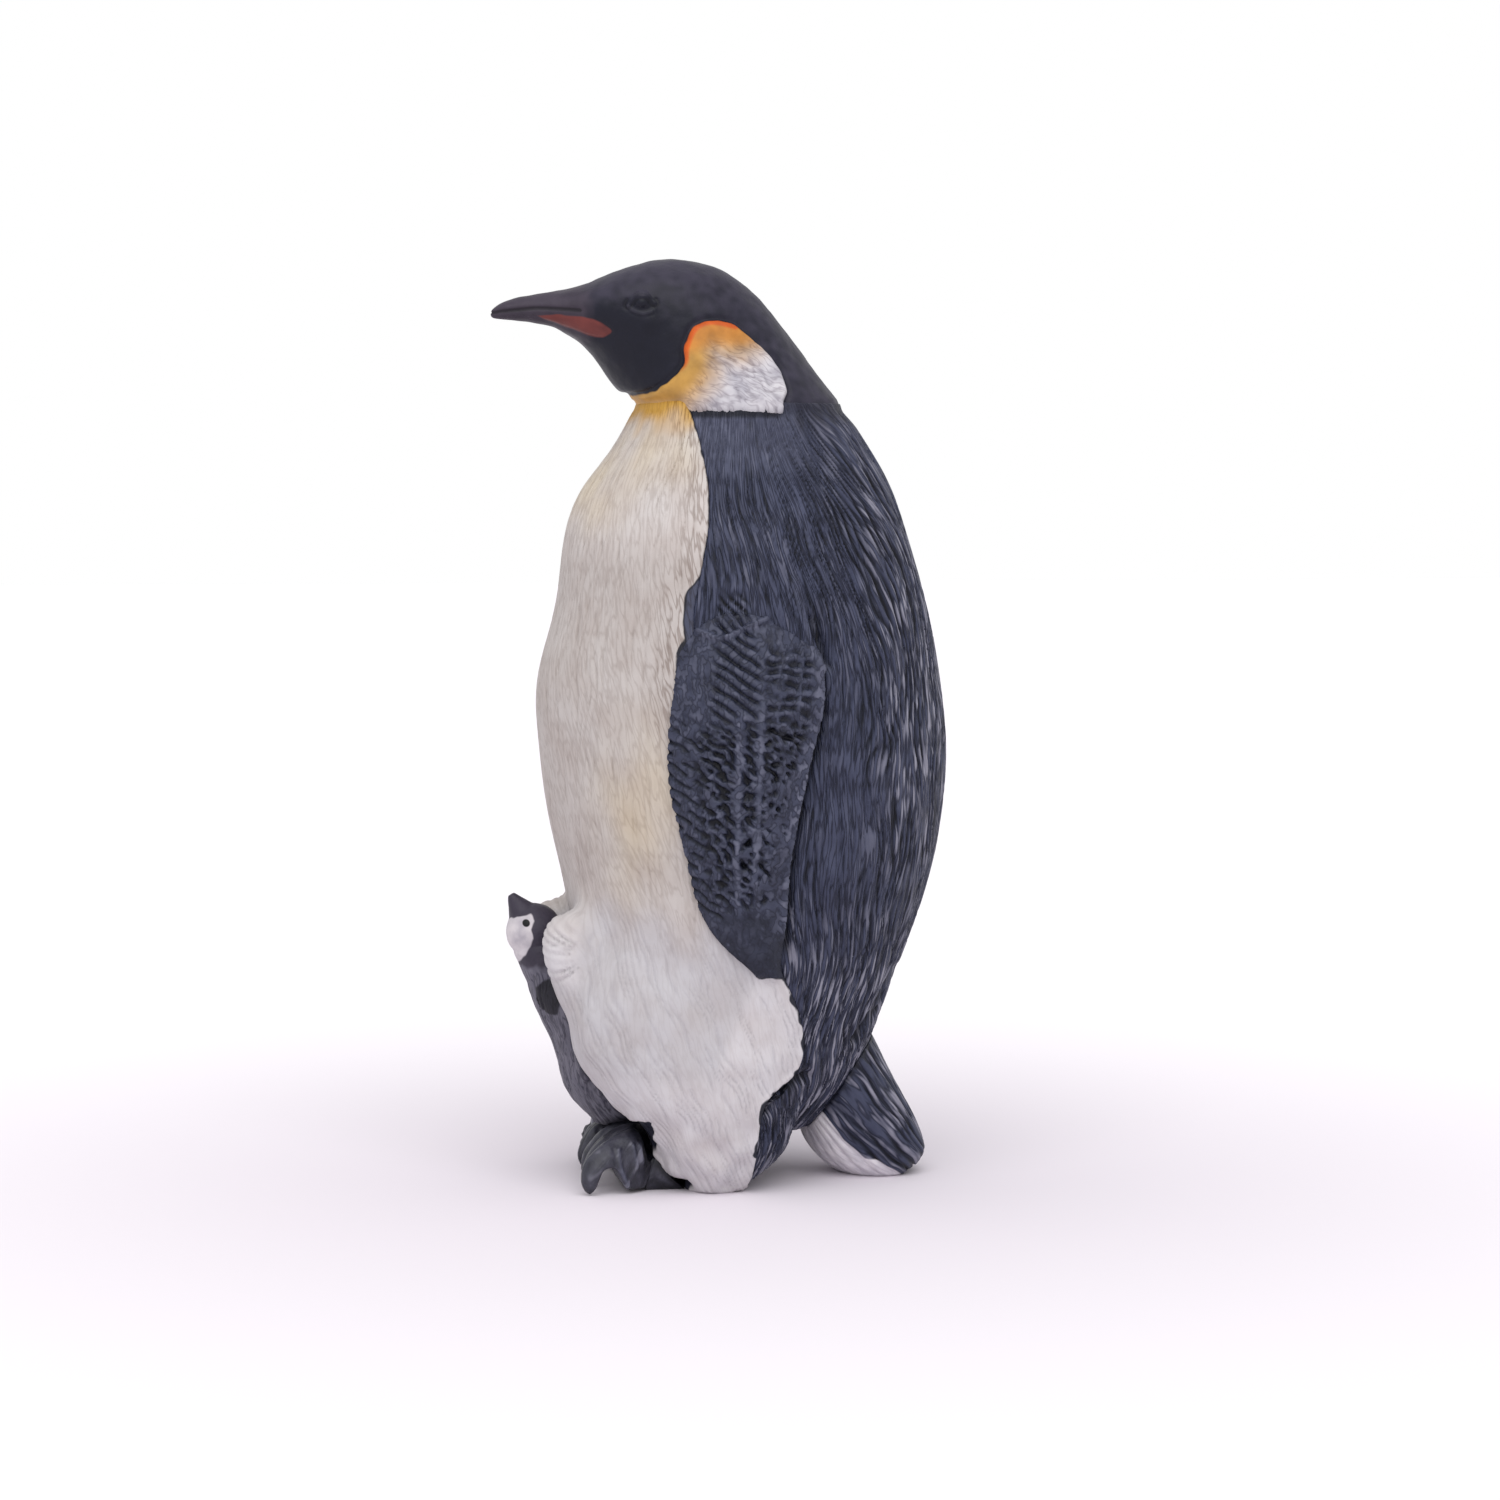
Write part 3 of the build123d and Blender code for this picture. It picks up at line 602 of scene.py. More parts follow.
def coatRelief(points):  # depth, pale share from dry-brush and a painted rim light, and run of the feather strokes on the back and the shoulders
    x, y, z = points.T
    turn = np.arctan2(np.abs(x), y - bodyAxisY)  # 0 straight behind, a quarter turn at the side
    rise = z - back["shoulderFoot"]
    slant = 0.5 * (rise + np.hypot(rise, back["shoulderBend"])) * back["shoulderSlant"] * np.sin(turn) ** 2
    slant *= 1 - 0.8 * ease(*back["uprightTurn"], turn)  # upright again beside the chest
    across = np.sign(x) * (turn * coatRadius - slant) + speckle(points, *back["sway"])
    depth = combed(across, z, *back["strokes"])[1]
    fineDepth = combed(across, z, *back["fine"])[1]
    shagDepth = combed(across + ruffle(turn, z, *back["shagSway"]), z, *back["shag"])[1]
    calm = spot(y, z, *back["calmSpot"])
    collar = ease(*back["collarFoot"], z)
    low = drop(*back["shagTop"], z)
    bold = (1 - 0.35 * ease(*back["sideTurn"], turn)) * (1 - 0.8 * calm) * (1 - 0.5 * collar)
    depth = depth * bold + fineDepth + shagDepth * low * (1 - 0.6 * calm)
    # stronger behind and on the low back: a painted rim light over the dry-brush
    dust = 1.3 * drop(*back["dustTurn"], turn) * ease(*back["dustFoot"], z)
    dust = dust * (1 - 0.5 * ease(*back["dustTop"], z)) + 1.4 * low
    dust *= 0.6 + 0.4 * ease(*back["dustRear"], turn)
    dust = dust + 0.1 + speckle(points, *back["dustPatch"]) * (1 - collar)
    return depth, np.clip(dust, 0, back["dustMost"]) * (1 - 0.8 * calm), across


def wingFold(y, z):  # the ridge where a flipper leaves the coat, and the hollow behind it
    return [curveHump(y, z, back[line], back["wingWidth"]) for line in ("wingRidge", "wingHollow")]


def makeBack():
    neighbours = ["belly_half", *flipperNodes, "tail"]
    piece = nodeCopy("back_half", "backHalf", back["cell"], neighbours + ["head"], back["cellStretch"])
    softenThighs(piece, neighbours)
    points, normals = places(piece)
    closeNeck(points, ["head"], 1)
    x, y, z = points.T
    depth, dust, across = coatRelief(points)
    bars, chord, crest = flipperRelief(np.abs(x), y, z)  # the fan of bars starts above the flipper
    barred = zone(chord, z, **back["barZone"])
    depth = depth * (1 - 0.7 * barred) + bars * barred
    free = ease(*seamFade, gapTo(points, ["belly_half", "tail"]))
    covered = drop(*seamFade, gapTo(points, flipperNodes))
    free = free * (1 - drop(*back["flipperTop"], z) * covered)
    rear = [(edge, level) for level, front, edge in wing["rows"] if level < back["undercutTop"]]
    undercut = hump(lineGap(y, z, rear) - back["undercutOffset"], back["undercutWidth"])
    undercut = undercut * (y > 0) * ease(*back["undercutFoot"], z)
    ridge, hollow = wingFold(y, z)
    fold = sum(curveHump(y, z, line, back["foldWidth"]) for line in back["folds"])
    fold = fold * (np.abs(x) > back["foldInner"])
    lift = -depth * free - back["undercutDepth"] * undercut - back["hollowDepth"] * hollow
    lift += back["ridgeLift"] * ridge - back["foldDepth"] * fold
    lift = lift * band(z, *carved)
    lift -= back["rimDip"] * ease(*back["rimDipFoot"], z) * ease(*back["rimDipFront"], y)
    sculpt(piece, points, normals, lift)
    ledge = ease(*back["ledgeFoot"], z) * drop(*back["ledgeRear"], y)
    # painted shade: darker in the undercut below each flipper, the hollow behind it, the folds and under the
    # ear patch
    gloom = np.max((0.9 * undercut, 0.7 * hollow, 0.9 * fold, 0.9 * ledge), 0)
    nape = (z - back["napeFoot"]) / back["napeHeight"] + speckle(points, *back["napePatch"])
    shag = back["shagPaint"] * drop(*back["shagTop"], z)  # the deep shag is painted paler
    worn = 0.5 * ease(*back["wornFoot"], z) * drop(*back["wornRear"], y)
    worn = np.max((0.5 * ridge, crest * barred, worn), 0)
    keepMasks(piece, relief=1 - depth / (back["paintDepth"] + shag),
              dust=dust * (1 - depth / (back["dustDepth"] + shag)), gloom=gloom,
              nape=nape * ease(*back["napeFront"], y), crest=worn, across=across, along=z,
              hairy=0.75 - 0.3 * ease(*back["calmHair"], z))
    return piece


# Vinyl under slate-blue acrylic: black wash in the cuts, pale dry-brushed ridges made paler behind and low
# down as a painted rim light, painted shade in hollows, satin shine
coatFinish = dict(
    ramp=[(0, "#0d0f1a"), (0.45, "#262a3b"), (0.8, "#3a3e53"), (1, "#44485d")],
    layers=(
        ("nape", 0.1, 1, 0.7, "#24232f"),
        ("crest", 0.1, 1, 0.7, "#686b7f"),
        # painted shade in hollows, under ledges and against other pieces; on the flippers also their darker
        # paint
        ("gloom", 0.1, 1, 0.85, "#0d0e17"),
    ),
    grit=0.3, hairPitch=0.33, hairLength=3.6, hairTone="#6c6e82", dustTone="#8b8a97",
    cloud=3, cloudTone="#d2d2da", bump=0.9, roughness=0.5, specular=0.22,
)


# Head: smooth black face and bill, and the bright patch behind the cheek

head = dict(
    cell=0.14, lumps=(0.12, 4), grain=(0.05, 1.2), fleck=(1, 0.9), plugTop=(75, 75.4),
    patchEdge=((-14, 76.6), (-8.7, 76.5), (-6.3, 77.6), (-4.5, 79.5), (-4.3, 81.2), (-3.4, 83.1),
               (-1.7, 83.8), (0.2, 83.6), (1.6, 82.7), (3, 81.5), (4.1, 80.4), (5.1, 78.9),
               (5.5, 77.1), (5, 75.6), (4.6, 70)),
    patchFloor=(-14, 70), patchFade=(-0.1, 0.35), patchLift=0.2,
    rimCut=(0.18, -0.25, 0.25),  # groove round the patch
    glowEdge=((-6, 77.8), (-4.5, 79.5), (-4.3, 81.2), (-3.4, 83.1), (-1.7, 83.8), (0.6, 83.4)),
    glowReach=5.5, orangeFoot=(78.8, 82), rimReach=(0.15, 0.75), rimFoot=(78, 80.5),
    throatEdge=((-14, 76.6), (-8.7, 76.5), (-6.3, 77.6), (-4.9, 79)), throatReach=3.2,
    marks=(0.8, 1.8, 0.14, 33), markSlope=0.5, wobble=(0.5, 1.5, 1.5, 31),
    plumeFront=(-6.5, -4), plumeReach=(1.2, 2.6),
    ledgeTop=(75.8, 78), ledgeLift=0.5, ledgeFront=(-5, -3.5),
    eye=(-8.4, 85.4, 0.85, 0.45), eyeLift=0.1,
    upperLid=((-9.6, 85.3), (-9.15, 85.95), (-8.5, 86.25), (-7.7, 86.1), (-7.1, 85.5)),
    lowerLid=((-9.6, 85.2), (-9.15, 84.8), (-8.6, 84.6), (-8.1, 84.5), (-7.4, 84.7)),
    upperRidge=(0.09, 0, 0.18), upperCut=(0.1, 0.35, 0.16), upperCutTop=86,
    lowerRidge=(0.08, 0, 0.16), lowerCut=(0.06, 0.35, 0.16),
    mouth=((-22.4, 84.7), (-20, 84.9), (-18, 85.1), (-16.1, 85), (-13.6, 84.8)),
    mouthCut=(0.2, 0, 0.2), mouthRear=(-13, -14.5), mouthPaintRear=(-14, -13),
    stripe=((-18.2, 84.35), (-15.7, 84.4), (-13.2, 84.1), (-11.9, 83.5), (-11.1, 82.8), (-11.8, 82.2),
            (-13, 82.4), (-14.4, 82.9), (-16.7, 83.7)),
    stripeCut=(0.1, 0, 0.18), stripeRear=-10, billRear=-12.5, crownEdge=(0.1, -0.3),
    napeLift=0.05, napeFront=(3, 6), napeTop=(75.8, 80),  # the nape spreads into the coat
    throatDip=0.4, dipRear=(-4.5, -3), dipTop=(75.8, 77.4),  # the throat dips into the chest
)


def makeHead():
    piece = nodeCopy("head", "penguinHead", head["cell"], bodyNodes)
    points, normals = places(piece)
    closeNeck(points, bodyNodes, -1)
    x, y, z = points.T
    patch = insideGap(y, z, bentLine(head["patchEdge"]) + [head["patchFloor"]])
    stripe = insideGap(y, z, bentLine(head["stripe"] + head["stripe"][:1]))
    lines = ("glowEdge", "throatEdge", "upperLid", "lowerLid", "mouth")
    glow, throat, upper, lower, mouth = [lineGap(y, z, bentLine(head[line])) for line in lines]
    inPatch = ease(*head["patchFade"], patch)
    across = z + head["markSlope"] * y + ruffle(y, z, *head["wobble"])
    along = y - head["markSlope"] * z
    marks, markCut = combed(across, along, *head["marks"])
    plume = ease(*head["plumeFront"], y) * ease(*head["plumeReach"], glow)  # where the patch is brushed
    ledge = drop(*head["ledgeTop"], z) * inPatch * ease(*head["ledgeFront"], y)
    lift = speckle(points, *head["lumps"]) + speckle(points, *head["grain"]) + inPatch * head["patchLift"]
    lift -= raised(patch, *head["rimCut"])
    lift += ledge * head["ledgeLift"] - markCut * inPatch * plume
    lift += head["eyeLift"] * spot(y, z, *head["eye"]) + raised(upper, *head["upperRidge"])
    lift -= raised(upper, *head["upperCut"]) * (z < head["upperCutTop"])
    lift += raised(lower, *head["lowerRidge"]) - raised(lower, *head["lowerCut"])
    lift -= raised(mouth, *head["mouthCut"]) * ease(*head["mouthRear"], y)
    lift -= raised(np.abs(stripe), *head["stripeCut"]) * (y < head["stripeRear"])
    lift += head["napeLift"] * ease(*head["napeFront"], y) * drop(*head["napeTop"], z)
    lift -= head["throatDip"] * drop(*head["dipRear"], y) * drop(*head["dipTop"], z)
    sculpt(piece, points, normals, lift * ease(*head["plugTop"], z))
    fleck = speckle(points, *head["fleck"])
    warm = np.maximum(1 - glow / head["glowReach"], 1 - throat / head["throatReach"]) + 0.03 * fleck
    # painted shade in the groove above the eye
    crease = np.abs(upper - head["upperCut"][1]) + 9 * (z > head["upperCutTop"])
    # painted sheen: the black is lighter where it faces up, as if lit from above
    crown = (normals[:, 2] + 0.3 * fleck) * ease(*head["crownEdge"], patch)
    keepMasks(piece, relief=1 - (1 - marks) * plume, face=-patch - 0.15 * fleck, warm=warm, crown=crown,
              orange=ease(*head["orangeFoot"], z) * warm,
              rim=drop(*head["rimReach"], glow) * ease(*head["rimFoot"], z),
              stripe=stripe + 0.1 * fleck, mouth=mouth + 5 * ease(*head["mouthPaintRear"], y),
              lid=lower, crease=crease, bill=head["billRear"] - y + 0.5 * fleck, across=across, along=along,
              hairy=0.6 * plume * inPatch, dust=np.zeros(len(z)))
    return piece


# Vinyl with a satin black face, an airbrushed ear patch, and a brick-red stripe on the bill
faceFinish = dict(
    ramp=[(0, "#aeaab0"), (0.5, "#c4c0c6"), (1, "#cac7cc")],
    layers=(
        ("warm", 0.05, 0.8, 0.95, "#bc8c38"),
        ("orange", 0.3, 0.95, 0.8, "#d08438"),
        ("rim", 0.1, 0.9, 0.85, "#d2551b"),
        ("face", -0.08, 0.08, 1, "#161724"),
        # painted sheen on the crown
        ("crown", 0, 0.9, 0.75, "#403c4c"),
        ("bill", 0, 1.5, 0.6, "#4a414c"),
        ("lid", 0.24, 0.06, 0.3, "#474651"),
        ("crease", 0.2, 0.05, 0.4, "#0b0b10"),
        ("mouth", 0.3, 0.1, 0.65, "#0f0e13"),
        ("stripe", -0.06, 0.14, 1, "#6e3633"),
    ),
    grit=0.5, hairPitch=0.5, hairLength=2, hairTone="#c6c1c6", dustTone="#d8d3d0",
    cloud=2.2, cloudTone="#d2d2d8", bump=0.3, roughness=0.46, specular=0.22,
)


# Flipper pieces: the shoulder end runs into the coat, the tip is darker with worn specks

def makeFlipper(node, name):
    piece = nodeCopy(node, name, wing["cell"], bodyNodes)
    points, normals = places(piece)
    x, y, z = points.T
    contact = gapTo(points, bodyNodes)
    chord = flipperChord(y, z)
    points[:, 1] -= np.interp(z, *wing["narrowRear"]) * ease(*wing["rearShare"], chord)
    points[:, 1] -= np.interp(z, *wing["widerFront"]) * drop(*wing["frontShare"], chord)
    depth, chord, crest = flipperRelief(np.abs(x), y, z)
    coat, dust, across = coatRelief(points)
    ridge, hollow = wingFold(y, z)
    sink = ease(*wing["sinkFoot"], z + 1.5 * ridge)
    shoulder = ease(*wing["shoulderFoot"], z + 2.0 * ease(*wing["shoulderRear"], chord))
    free = np.maximum(ease(*wing["edgeGap"], contact), ease(*wing["freeFoot"], z))
    depth = depth * (1 - shoulder) + coat * shoulder
    lift = -depth * free - np.maximum(contact - wing["sinkGap"], 0) * sink + back["ridgeLift"] * ridge
    sculpt(piece, points, normals, lift)
    tip = drop(*wing["tipTop"], z + ruffle(y, z, *wing["tipRagged"]))
    edge = drop(*wing["edgeGap"], contact) * drop(*wing["edgeTop"], z)
    hollow = hollow * ease(*wing["hollowFoot"], z)
    # painted shade along the edge against the body and in the hollow behind it, and the darker paint of the
    # lower flipper and its tip
    gloom = np.max((0.7 * edge, 0.8 * hollow, 0.4 - 0.4 * shoulder + 0.35 * tip), 0)
    dust = dust * shoulder * (1 - depth / wing["dustDepth"])
    dust += (1 - shoulder) * (1 - tip) * (0.4 - 2 * depth / wing["slotDepth"])
    crest = crest * (1 - shoulder) * (0.75 + ruffle(y, z, *wing["crestPatch"])) + 0.5 * ridge
    worn = 0.6 * tip * ease(*wing["wornFade"], ruffle(y, z, *wing["worn"]))
    keepMasks(piece, relief=1 - depth / wing["slotDepth"], dust=dust, gloom=gloom * (1 - 0.6 * worn),
              nape=np.zeros(len(z)), crest=crest + worn, across=across, along=z, hairy=0.6 - 0.3 * tip)
    return piece


# Vinyl under the coat's slate-blue acrylic, with shorter and greyer brush marks over the scales
flipperFinish = dict(
    ramp=coatFinish["ramp"], layers=coatFinish["layers"],
    grit=0.25, hairPitch=0.55, hairLength=1, hairTone="#888a9a", dustTone="#6f7184",
    cloud=1.4, cloudTone="#b4b5c0", bump=0.8, roughness=0.5, specular=0.25,
)


# Tail: ridged dark wedge with a white underside

tail = dict(
    cell=0.15, axisPlace=(10.5, 9), slope=0.71, strokeRadius=5, sway=(0.4, 2, 5),
    ridges=(0.95, 7, 0.22, 51), fine=(0.45, 3, 0.08, 55),
    floorFade=(0.1, 0.5), tip=(20.4, 2.6), tipReach=1.8,
    whiteEdge=((4, 12), (8.9, 7.6), (11.4, 4.1), (13.6, 2.2), (15.4, 1.6), (17.2, 0.4), (19, -0.6)),
    upward=(0.6, 0.8), upwardFade=(-0.1, 0.5), upwardDrop=4, underFade=(-0.1, 0.1),
    fleck=(1, 1.5), shadeGap=(0.1, 0.8), paintDepth=0.26, dustDepth=0.16,
)


def makeTail():
    piece = nodeCopy("tail", "tailWedge", tail["cell"], bodyNodes)
    points, normals = places(piece)
    x, y, z = points.T
    axisY, axisZ = tail["axisPlace"]
    along = tail["slope"] * (y - axisY) - tail["slope"] * (z - axisZ)  # down the tail from its root
    aside = tail["slope"] * (y - axisY) + tail["slope"] * (z - axisZ)
    sway, swayWide, swayLong = tail["sway"]
    across = np.arctan2(x, aside) * tail["strokeRadius"]
    across = across + sway * noiseAt(x / swayWide, y / swayLong, z / swayLong)
    depth = combed(across, along, *tail["ridges"])[1] + combed(across, along, *tail["fine"])[1]
    contact = gapTo(points, bodyNodes)
    free = ease(*seamFade, contact) * ease(*tail["floorFade"], z)
    tipGap = np.array(tail["tip"]) - points[:, 1:]
    points[:, 1:] += 0.5 * tipGap * hump(np.hypot(*tipGap.T), tail["tipReach"])[:, None]  # a sharper end
    sculpt(piece, points, normals, -depth * free)
    upwardY, upwardZ = tail["upward"]
    upward = ease(*tail["upwardFade"], upwardY * normals[:, 1] + upwardZ * normals[:, 2])
    under = np.interp(y, *np.array(tail["whiteEdge"]).T) - z - tail["upwardDrop"] * upward
    fleck = speckle(points, *tail["fleck"])
    # painted shade where the tail meets the body
    keepMasks(piece, relief=1 - depth / tail["paintDepth"],
              dust=(1.0 + fleck) * (1 - depth / tail["dustDepth"]),
              under=under + 0.2 * fleck, gloom=drop(*tail["shadeGap"], contact),
              across=across, along=along, hairy=0.7 - 0.55 * ease(*tail["underFade"], under))
    return piece


# Vinyl, slate acrylic above and a white underside with a brushed edge
tailFinish = dict(
    ramp=coatFinish["ramp"],
    layers=(
        # painted shade near the body
        ("gloom", 0.3, 1, 0.5, "#14151d"),
        ("under", -0.05, 0.15, 1, "#e6e1e6"),
    ),
    grit=0.3, hairPitch=0.5, hairLength=4, hairTone="#74768a", dustTone="#8f8d9b",
    cloud=3, cloudTone="#d8d8de", bump=0.6, roughness=0.5, specular=0.22,
)


# Feet: webbed toes with hooked claws

feet = dict(
    cell=0.12, reach=2, floorFade=(0.1, 0.4),
    ridges=(0.8, 2.5, 0.07, 61), ridgeSlant=0.25,
    toePlaces=(2.2, 6.2, 10.2), stepReach=(-9, -14),  # from the middle line; along the toes
    step=dict(left=(0.3, 0, -1.7), right=(0.5, 1.2, 0.9)),  # how far each toe is set back
    web=((-12.3, -10.4), (-8.8, -7.4)), webTop=(3.5, 5.5), webDrop=0.88,
    arch=(1.4, -12.3, 1.1), archTop=(0.8, 3),  # hollow behind the claws
    tendons=(((-11.3, 4.2), (-11.1, 2.3), (-10.4, 0.8)), ((-9.9, 4.6), (-9.5, 2.7)),
             ((-9.2, 4.6), (-8.9, 2.9))), tendonLift=0.3, tendonWidth=0.25,
    knobs=(1, 0.8), knobLift=0.03, knobFade=(0.1, 0.5), paintDepth=0.2, dustDepth=0.1,
    shadeGap=(0.1, 0.9), shadeTop=(0.2, 1.5),
)


def makeFoot(side):
    neighbours = ["belly_half", "chick"]
    piece = nodeCopy(side + "_foot", side + "Foot", feet["cell"], neighbours)
    points, normals = places(piece)
    x, y, z = points.T
    contact = gapTo(points, neighbours, feet["reach"])
    setBack = np.interp(np.abs(x), feet["toePlaces"], feet["step"][side])
    points[:, 1] += setBack * ease(*feet["stepReach"], y)
    web = band(y, *feet["web"])
    points[:, 2] *= 1 - feet["webDrop"] * web * drop(*feet["webTop"], z)  # skin between the toes
    points[:, 2] += raised(y, *feet["arch"]) * drop(*feet["archTop"], z)
    across = x + feet["ridgeSlant"] * z
    knobs = speckle(points, *feet["knobs"])
    tendon = sum(curveHump(y, z, line, feet["tendonWidth"]) for line in feet["tendons"])
    free = ease(*seamFade, contact) * ease(*feet["floorFade"], z)
    depth = combed(across, y - z, *feet["ridges"])[1] - feet["knobLift"] * knobs - feet["tendonLift"] * tendon
    sculpt(piece, points, normals, -depth * free)
    # painted shade against the belly and the chick, and a painted contact shadow near the floor
    gloom = np.maximum(drop(*feet["shadeGap"], contact), 0.6 * drop(*feet["shadeTop"], z))
    keepMasks(piece, relief=1 - depth / feet["paintDepth"],
              dust=0.1 + 0.25 * knobs - depth / feet["dustDepth"], gloom=gloom, nape=np.zeros(len(z)),
              crest=0.2 * ease(*feet["knobFade"], knobs) + 0.6 * tendon, across=across,
              along=y - z, hairy=np.full(len(z), 0.25))
    return piece


# Vinyl under near-black acrylic: glossier than the coat, like wet skin
footFinish = dict(
    layers=coatFinish["layers"],
    ramp=[(0, "#101015"), (0.45, "#23232b"), (0.8, "#353540"), (1, "#41414d")],
    grit=0.25, hairPitch=0.6, hairLength=1.2, hairTone="#8a8a94", dustTone="#84838f",
    cloud=1.2, cloudTone="#b8b8c0", bump=0.6, roughness=0.42, specular=0.4,
)


# Chick: dark cap and nape, white face, grey down

chick = dict(
    cell=0.12, reach=2, bodyTop=21.2, bodyFade=(20.2, 21.2),
    down=(0.6, 2.2, 0.12, 71), downLean=(1.1, 0.4), sway=(0.3, 2), lumps=(0.05, 1),
    face=((-22.6, 25.3), (-21.4, 25.5), (-20.1, 26.1), (-18.8, 26.4), (-18.5, 25.7), (-18.8, 24.9),
          (-18.6, 24), (-19.1, 22.8), (-19.9, 21.4), (-21, 21.6), (-22.6, 22)),
    eye=(-19.3, 25.5), eyeRadius=0.36, eyeLift=0.12, eyeFade=(-0.1, 0.2), eyeInner=1,
    wing=((-18.4, 19.2), (-17, 20.1), (-16.2, 18.6), (-16.4, 16.6), (-18, 17.1)), wingInner=1.5,
    fleck=(1, 0.7), shadeGap=(0.1, 1.2), paintDepth=0.16,
)


def makeChick():
    neighbours = ["belly_half", "left_foot", "right_foot"]
    piece = nodeCopy("chick", "downyChick", chick["cell"], neighbours)
    points, normals = places(piece)
    x, y, z = points.T
    leanX, leanY = chick["downLean"]
    across = x * leanX + leanY * y + speckle(points, *chick["sway"])
    contact = gapTo(points, neighbours, chick["reach"])
    body = drop(*chick["bodyFade"], z)
    depth = combed(across, z, *chick["down"])[1] * ease(*seamFade, contact) * body
    eyeY, eyeZ = chick["eye"]
    eye = chick["eyeRadius"] - np.hypot(y - eyeY, z - eyeZ) - (np.abs(x) < chick["eyeInner"])
    lift = chick["eyeLift"] * ease(*chick["eyeFade"], eye) - depth + speckle(points, *chick["lumps"])
    sculpt(piece, points, normals, lift)
    fleck = speckle(points, *chick["fleck"])
    wings = insideGap(y, z, bentLine(chick["wing"] + chick["wing"][:1]))
    wings = wings - 3 * (np.abs(x) < chick["wingInner"])
    face = insideGap(y, z, chick["face"]) + 0.12 * fleck
    # painted shade where the chick touches the belly and the feet
    keepMasks(piece, relief=1 - depth / chick["paintDepth"], face=face, eye=eye,
              body=(chick["bodyTop"] - z) + 0.5 * fleck, wings=wings + 0.15 * fleck,
              gloom=drop(*chick["shadeGap"], contact), across=across, along=z,
              hairy=0.8 * body, dust=0.5 * body)
    return piece


# Vinyl, soft grey down with a black cap and nape, white cheeks and a bead of an eye
downFinish = dict(
    ramp=[(0, "#221f29"), (0.6, "#2e2a35"), (1, "#3a3542")],
    layers=(
        ("body", -0.3, 0.5, 1, "#6c6a76"),
        ("wings", -0.1, 0.15, 1, "#22212b"),
        # painted shade against the belly and the feet
        ("gloom", 0.1, 1, 0.75, "#1b1b23"),
        ("face", -0.05, 0.12, 1, "#cbc5c9"),
        ("eye", -0.05, 0.05, 1, "#0c0c10"),
    ),
    grit=0.3, hairPitch=0.4, hairLength=1.8, hairTone="#9a9aa2", dustTone="#7c7b88",
    cloud=1.5, cloudTone="#d4d4da", bump=0.35, roughness=0.52, specular=0.3,
)


# Pieces in place

finishPiece(makeBelly(), "belly_half", paintedVinyl("whitePaintedVinyl", whiteFinish))
finishPiece(makeBack(), "back_half", paintedVinyl("backPaintedVinyl", coatFinish))
finishPiece(makeHead(), "head", paintedVinyl("facePaintedVinyl", faceFinish))
for side in ("left", "right"):
    flipperPaint = paintedVinyl(side + "FlipperPaintedVinyl", flipperFinish)
    onePiece = makeFlipper(side + "_flipper", side + "Flipper")
    finishPiece(onePiece, side + "_flipper", flipperPaint)
finishPiece(makeTail(), "tail", paintedVinyl("tailPaintedVinyl", tailFinish))
for side in ("left", "right"):
    footPaint = paintedVinyl(side + "FootPaintedVinyl", footFinish)
    finishPiece(makeFoot(side), side + "_foot", footPaint)
finishPiece(makeChick(), "chick", paintedVinyl("chickPaintedVinyl", downFinish))


# Floor, light and camera

studio = dict(
    floorSize=4000, floorTone="#e6dfe7", floorFar="#f6f2f7", floorFade=(10, 140),
    floorRoughness=0.95, floorSpecular=0.1,
    cameraPlace=(395.08, -60.5, 70), cameraAim=(0, 2.08, 42.25), cameraNear=10,
    lens=97.79, sensor=36, cameraShift=(0.007, -0.0017),
    skyStrength=0.8, sunStrength=1.55, sunAngle=60, sunPlace=(0.8, -0.1, 0.95),
)


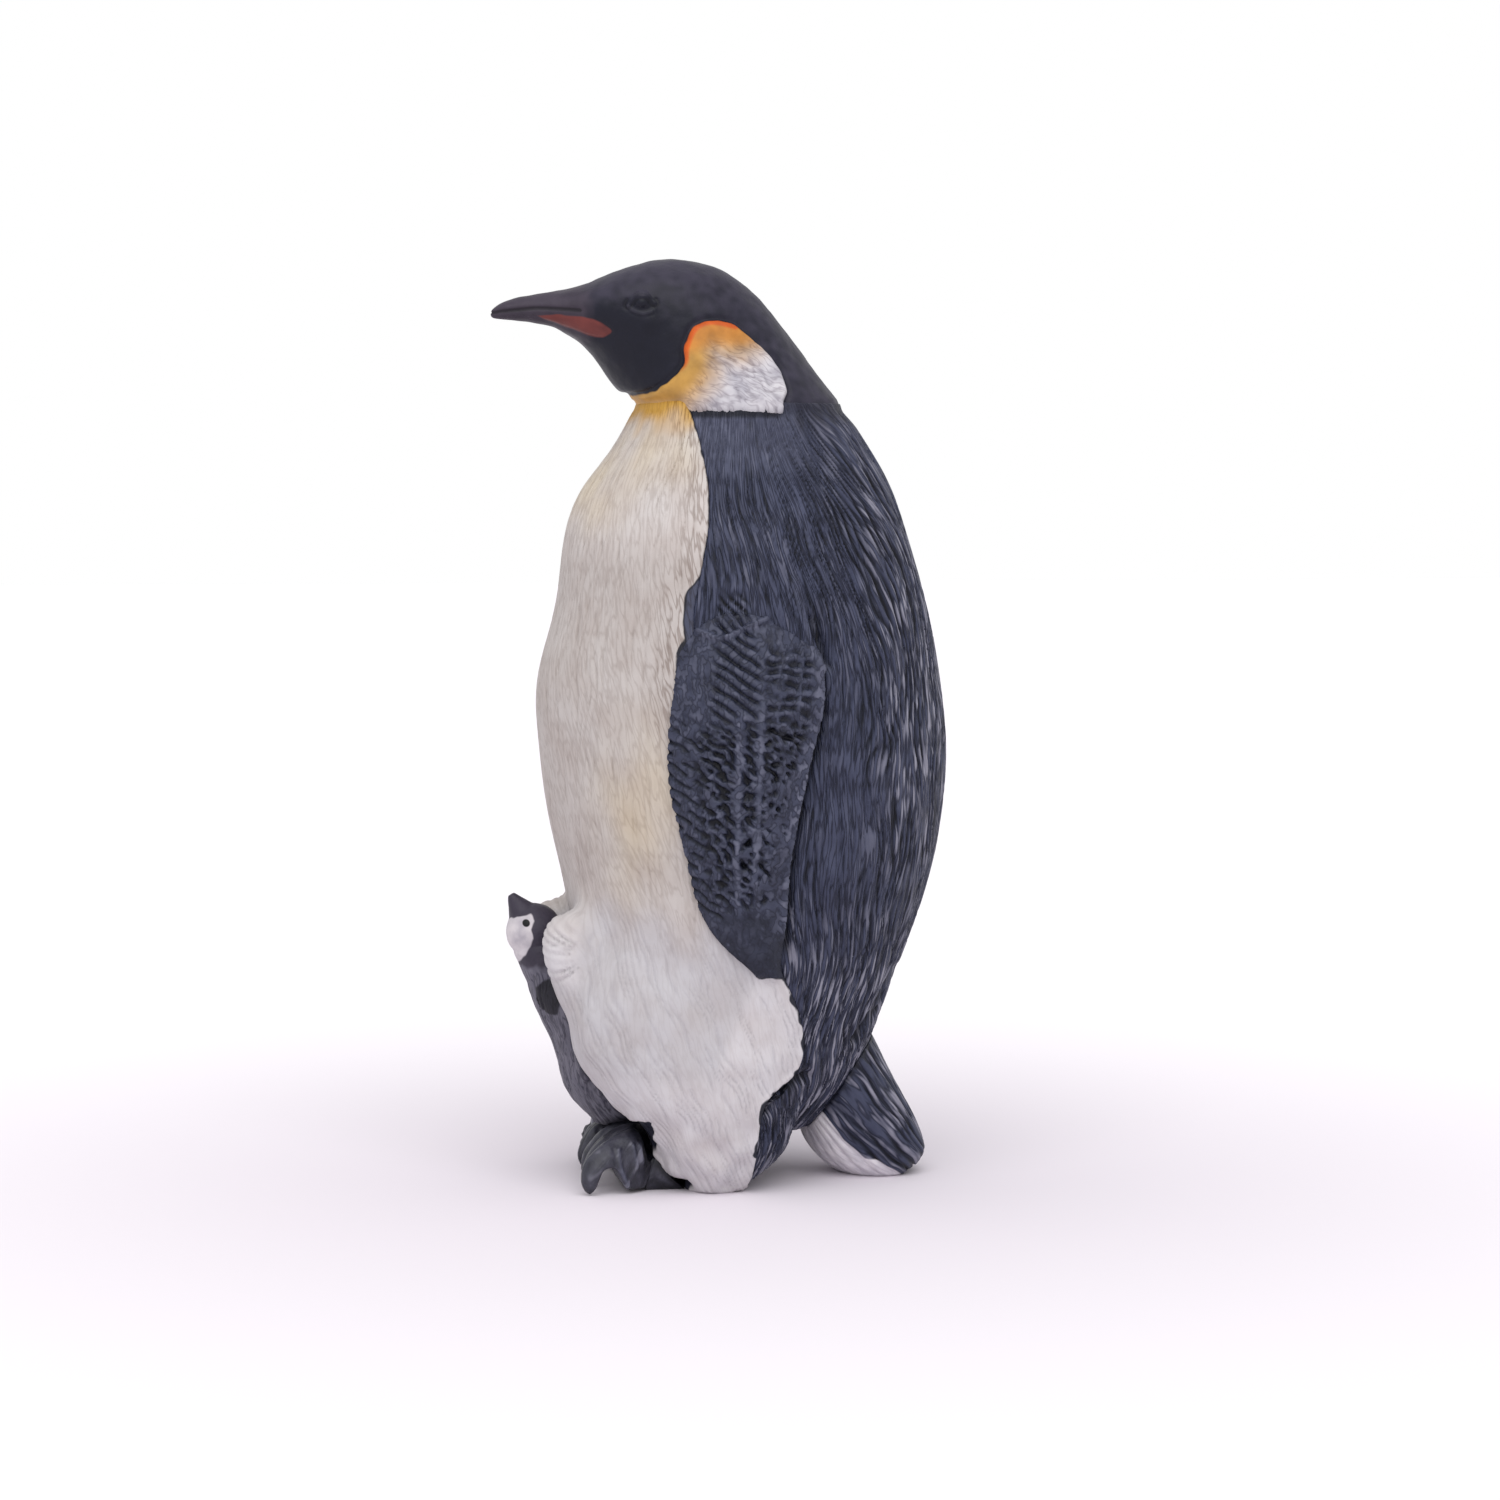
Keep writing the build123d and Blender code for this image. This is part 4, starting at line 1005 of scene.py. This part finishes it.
def makeFloor():
    bpy.ops.object.select_all(action="DESELECT")
    bpy.ops.mesh.primitive_plane_add(size=studio["floorSize"] * mm, location=(0, 0, 0))
    floor = bpy.context.object
    floor.name = "studioFloor"
    material = bpy.data.materials.new("matteSweepPaper")  # flat paper, no shine
    material.use_nodes = True
    tree = material.node_tree
    tree.nodes.clear()
    where = addNode(tree, "ShaderNodeTexCoord", out="Object")
    away = addNode(tree, "ShaderNodeVectorMath", {0: where}, out="Value", operation="LENGTH")
    # painted shadow: the paper is darker near the figurine and fades to its own tone further out
    fadeStart, fadeEnd = studio["floorFade"]
    fade = addNode(tree, "ShaderNodeMapRange", {
        "Value": away, "From Min": fadeStart * mm, "From Max": fadeEnd * mm},
        interpolation_type="SMOOTHSTEP")
    tone = addNode(tree, "ShaderNodeValToRGB", {"Fac": fade}, [
        (0.0, studio["floorTone"]), (1.0, studio["floorFar"])])
    shader = addNode(tree, "ShaderNodeBsdfPrincipled", {
        "Base Color": tone, "Roughness": studio["floorRoughness"],
        "Specular IOR Level": studio["floorSpecular"]})
    addNode(tree, "ShaderNodeOutputMaterial", {"Surface": shader})
    floor.data.materials.append(material)


def makeLight():
    world = bpy.data.worlds.new("softRoom")
    world.use_nodes = True
    bpy.context.scene.world = world
    tree = world.node_tree
    tree.nodes.clear()
    seen = addNode(tree, "ShaderNodeLightPath", out="Is Camera Ray")  # the backdrop stays white
    strength = addNode(tree, "ShaderNodeMapRange", {
        "Value": seen, "To Min": studio["skyStrength"], "To Max": 1.0})
    sky = addNode(tree, "ShaderNodeBackground", {"Color": colour("#ffffff"), "Strength": strength})
    addNode(tree, "ShaderNodeOutputWorld", {"Surface": sky})
    lamp = bpy.data.lights.new("wideSoftbox", "SUN")
    lamp.energy = studio["sunStrength"]
    lamp.angle = math.radians(studio["sunAngle"])
    sun = bpy.data.objects.new("wideSoftbox", lamp)
    sun.rotation_euler = Vector(studio["sunPlace"]).to_track_quat("Z", "Y").to_euler()
    bpy.context.scene.collection.objects.link(sun)


def makeCamera():
    data = bpy.data.cameras.new("photoCamera")
    data.lens = studio["lens"]
    data.sensor_width = studio["sensor"]
    data.shift_x, data.shift_y = studio["cameraShift"]
    data.clip_start = studio["cameraNear"] * mm
    camera = bpy.data.objects.new("photoCamera", data)
    place, aim = Vector(studio["cameraPlace"]), Vector(studio["cameraAim"])
    camera.location = place * mm
    camera.rotation_euler = (aim - place).to_track_quat("-Z", "Y").to_euler()
    scene = bpy.context.scene
    scene.collection.objects.link(camera)
    scene.camera = camera
    scene.view_settings.view_transform = "Standard"


makeFloor()
makeLight()
makeCamera()
print("studio ready")
